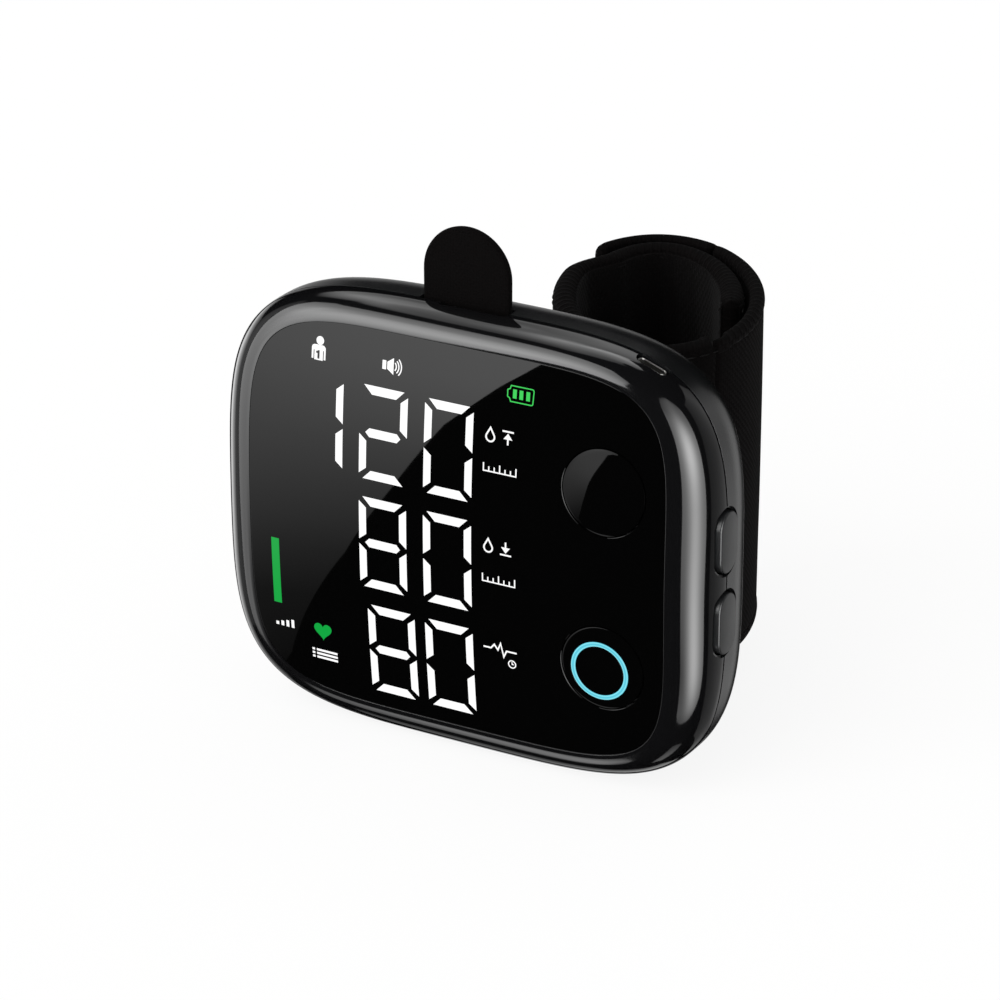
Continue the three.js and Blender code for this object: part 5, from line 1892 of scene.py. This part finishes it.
stitch_tree, given = start_tree("stitch_row", {
    "Pitch": "NodeSocketFloat", "Stitch Length": "NodeSocketFloat", "Thread Width": "NodeSocketFloat",
    "Material": "NodeSocketMaterial",
})
seam = add(stitch_tree, "GeometryNodeMeshToCurve", {"Mesh": given.outputs["Base"]})
spots = add(stitch_tree, "GeometryNodeCurveToPoints", {
    "Curve": seam.outputs["Curve"], "Length": given.outputs["Pitch"],
}, mode="LENGTH")
bead = add(stitch_tree, "GeometryNodeMeshUVSphere", {"Segments": 8, "Rings": 6, "Radius": 0.5})
bead_size = add(stitch_tree, "ShaderNodeCombineXYZ", {
    "X": given.outputs["Thread Width"], "Y": given.outputs["Thread Width"],
    "Z": given.outputs["Stitch Length"],
})
placed = add(stitch_tree, "GeometryNodeInstanceOnPoints", {
    "Points": spots.outputs["Points"], "Instance": bead.outputs["Mesh"],
    "Rotation": spots.outputs["Rotation"], "Scale": bead_size.outputs["Vector"],
})
end_tree(stitch_tree, given, placed.outputs["Instances"])

# Bonded polyester thread: black, a touch shinier than the cloth it is sewn through.
sewing_thread = plastic("sewing_thread", "#080707", 0.6, 0.05, 0.15, 0.01, 1.5, 0.1)
stitch_pitch = 2.6
stitch_length = 2.0
thread_width = 0.25
stitch_sizes = {
    "Pitch": stitch_pitch * MM, "Stitch Length": stitch_length * MM,
    "Thread Width": thread_width * MM, "Material": sewing_thread,
}
seam_step = 2.0
stitch_inset = binding_height - 0.7
stitch_sink = 0.15
outer_line = stitch_sink - binding_proud
inner_line = wrap_thickness - binding_proud - stitch_sink


def seam_path(angles, inset, z):
    """A line of edges on the cuff at one height."""
    count = int(abs(angles[1] - angles[0]) / seam_step)
    points = []
    for i in range(count + 1):
        degrees = mix(*angles, i / count)
        point = loop_point(degrees, inset(degrees) if callable(inset) else inset, z)
        points.append(tuple(lens_middle + point * MM))
    mesh = bpy.data.meshes.new("seam")
    mesh.from_pydata(points, [(i, i + 1) for i in range(count)], [])
    made = bpy.data.objects.new("seam", mesh)
    bpy.context.collection.objects.link(made)
    return made


stitch_levels = (band_low + stitch_inset, band_high - stitch_inset)
for i, z in enumerate(stitch_levels):
    for side, line in (("outer", outer_line), ("inner", inner_line)):
        path = seam_path(wrap_angles, layer_at(line), z)
        row = grow(f"wrap_stitches_{side}_{i + 1}", path, stitch_tree, stitch_sizes)
        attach(row, "device")
    path = seam_path(panel_angles, outer_line, z)
    along_hinge(grow(f"panel_stitches_{i + 1}", path, stitch_tree, stitch_sizes))
    path = seam_path((free_angles[0], free_angle - 6), outer_line, z)
    along_peel(grow(f"free_stitches_{i + 1}", path, stitch_tree, stitch_sizes))

hook_tree, given = start_tree("hook_rows", {
    "Hook Height": "NodeSocketFloat", "Hook Width": "NodeSocketFloat", "Material": "NodeSocketMaterial",
})
spots = add(hook_tree, "GeometryNodeMeshToPoints", {"Mesh": given.outputs["Base"]})
bead = add(hook_tree, "GeometryNodeMeshUVSphere", {"Segments": 6, "Rings": 4, "Radius": 0.5})
bead_size = add(hook_tree, "ShaderNodeCombineXYZ", {
    "X": given.outputs["Hook Width"], "Y": given.outputs["Hook Width"],
    "Z": given.outputs["Hook Height"],
})
placed = add(hook_tree, "GeometryNodeInstanceOnPoints", {
    "Points": spots.outputs["Points"], "Instance": bead.outputs["Mesh"],
    "Scale": bead_size.outputs["Vector"],
})
end_tree(hook_tree, given, placed.outputs["Instances"])

# Nylon hooks: each is a bent hair of nylon, drawn here as a short bead 0.3 across.
hook_nylon = plastic("hook_nylon", "#1C1B1B", 0.4, 0.05, 0.15, 0.01, 1.53)
hook_height = 0.45
hook_width = 0.3
hook_pitch = 1.1
hook_middle = flap_thickness + 0.34
first_hook_angle = hook_angles[0] + 3.0
first_hook_level = hook_levels[0] + 1.2
bare_angle = 4.0
bare_height = 2.0
angle_step = hook_pitch / run_per_degree
hook_columns = int((hook_angles[1] - hook_angles[0] - bare_angle) / angle_step)
hook_rows = int((hook_levels[1] - hook_levels[0] - bare_height) / hook_pitch)
hook_points = []
for i in range(hook_columns):
    for k in range(hook_rows):
        degrees = first_hook_angle + i * angle_step
        z = first_hook_level + (k + 0.5 * (i % 2)) * hook_pitch
        hook_points.append(lens_middle + loop_point(degrees, hook_middle, z) * MM)
hooks = grow("hook_field", new_object("hooks", hook_points, []), hook_tree, {
    "Hook Height": hook_height * MM, "Hook Width": hook_width * MM, "Material": hook_nylon,
})
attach(hooks, "cuff_end")

# Housing screws: four zinc-plated steel screws with pan heads and a cross recess, driven from
# behind, at the bottom of the wells, into the bosses of the front housing.
screw_head_height = 1.4
head_round = 0.1
cross_half = 0.28
cross_reach = 1.15
cross_depth = 0.8
screw_foot = screw_tip - head_seat
screw_profile = [
    (screw_radius * 0.2, screw_foot), (screw_radius, screw_foot + screw_radius),
    (screw_radius, -head_round / 2), (screw_head_radius - head_round, 0),
    (screw_head_radius, head_round * 1.2),
    (screw_head_radius, screw_head_height * 0.45), (screw_head_radius * 0.9, screw_head_height * 0.8),
    (screw_head_radius * 0.6, screw_head_height * 0.97),
]
# Zinc-plated steel: grey and a little blue, duller than the port's nickel.
zinc_steel = metal("zinc_steel", "#A3A6AA", 0.32, 0.3, 1)
screw_turns = [2 * math.pi * i / 32 for i in range(32)]
screw_rings = [
    [Vector((radius * math.cos(turn), depth, radius * math.sin(turn))) for turn in screw_turns]
    for radius, depth in screw_profile
]
screw = piece("screw", *skin(
    screw_rings, False, ((0, screw_foot - head_round, 0), (0, screw_head_height, 0))
), zinc_steel)
carve(screw, [
    block(
        (-across, screw_head_height - cross_depth, -upwards),
        (across, screw_head_height + overrun, upwards),
    )
    for across, upwards in ((cross_reach, cross_half), (cross_half, cross_reach))
])
screw.data.transform(Matrix.Translation(-lens_middle))
screw_tree, given = start_tree("screws_in_wells", {
    "Screw": "NodeSocketObject", "Material": "NodeSocketMaterial",
})
spots = add(screw_tree, "GeometryNodeMeshToPoints", {"Mesh": given.outputs["Base"]})
model = add(screw_tree, "GeometryNodeObjectInfo", {"Object": given.outputs["Screw"]})
placed = add(screw_tree, "GeometryNodeInstanceOnPoints", {
    "Points": spots.outputs["Points"], "Instance": model.outputs["Geometry"],
})
end_tree(screw_tree, given, placed.outputs["Instances"])
well_seats = [lens_middle + Vector((x, head_seat + seat, z)) * MM for x, z in boss_places]
screws = grow("housing_screws", new_object("wells", well_seats, []), screw_tree, {
    "Screw": screw, "Material": zinc_steel,
})
bpy.data.objects.remove(screw)
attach(screws, "device")
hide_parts("housing_screw_1", "housing_screw_2", "housing_screw_3", "housing_screw_4")

# Inside: the parts that only show when a key or the cuff is off keep their modelled shape,
# and each gets the finish of what it is.
def finish_nodes(finish, *names):
    """Give parts from the frame their material."""
    for name in names:
        part = bpy.data.objects[name]
        part.data.materials.clear()
        part.data.materials.append(finish)


def foam(name, colour, cell):
    """Closed-cell foam: matt, with small round cells in its surface."""
    made, tree = new_material(name)
    place = add(tree, "ShaderNodeTexCoord")
    cells = add(tree, "ShaderNodeTexVoronoi", {
        "Vector": place.outputs["Object"], "Scale": 1 / (cell * MM),
    })
    bump = add(tree, "ShaderNodeBump", {
        "Height": cells.outputs["Distance"], "Distance": cell * 0.2 * MM,
    })
    shade = add(tree, "ShaderNodeBsdfPrincipled", {
        "Base Color": linear(colour), "Roughness": 0.9, "Normal": bump.outputs["Normal"],
    })
    add(tree, "ShaderNodeOutputMaterial", {"Surface": shade.outputs[0]})
    return made


# Solder-masked laminate: dark green, with the woven glass just visible under the mask.
finish_nodes(
    plastic("solder_mask_laminate", "#12492D", 0.3, 0.05, 0.6, 0.01, 1.5),
    "main_board", "side_key_board",
)
finish_nodes(foam("gasket_foam", "#1C1C1E", 0.4), "lens_gasket")
finish_nodes(plastic("matt_mask_abs", "#0A0A0A", 0.7, 0.05, 0.3, 0.006, 1.52), "display_mask")
finish_nodes(plastic("milky_pmma", "#F1F3F4", 0.4, 0.04, 1.0, 0.002, 1.49), "segment_light_guide")
finish_nodes(metal("drawn_steel_can", "#B4B7BA", 0.3, 0.25, 10), "pump_motor")
finish_nodes(
    metal("tinned_switch_steel", "#9C9EA0", 0.35, 0.2, 3),
    *(f"key_switch_{k}" for k in range(1, 5)),
)
finish_nodes(metal("turned_plunger_steel", "#C4C6C8", 0.25, 0.15, 1), "valve_plunger")
finish_nodes(plastic("white_acetal", "#D8D8D6", 0.45, 0.04, 0.8, 0.002, 1.48), "pump_crank")
finish_nodes(
    plastic("pump_pbt", "#2B2D30", 0.55, 0.05, 0.25, 0.006, 1.55),
    "pump_head", "pump_outlet_cap", "valve_body", "air_nipple",
)
finish_nodes(plastic("natural_nylon", "#C9C9C0", 0.45, 0.05, 0.5, 0.003, 1.53), "air_manifold")
finish_nodes(plastic("sensor_epoxy", "#E4E1D8", 0.5, 0.05, 0.3, 0.004, 1.55), "pressure_sensor")
finish_nodes(plastic("milky_silicone", "#D9DAD5", 0.5, 0.06, 2.0, 0.01, 1.41), "pump_hose", "cuff_hose")
finish_nodes(metal("embossed_foil", "#B9BCC0", 0.4, 0.5, 4), "battery")
finish_nodes(plastic("speaker_paper", "#3A3B3E", 0.65, 0.05, 0.4, 0.01, 1.5), "speaker")
finish_nodes(zinc_steel, "saddle_screw_1", "saddle_screw_2")
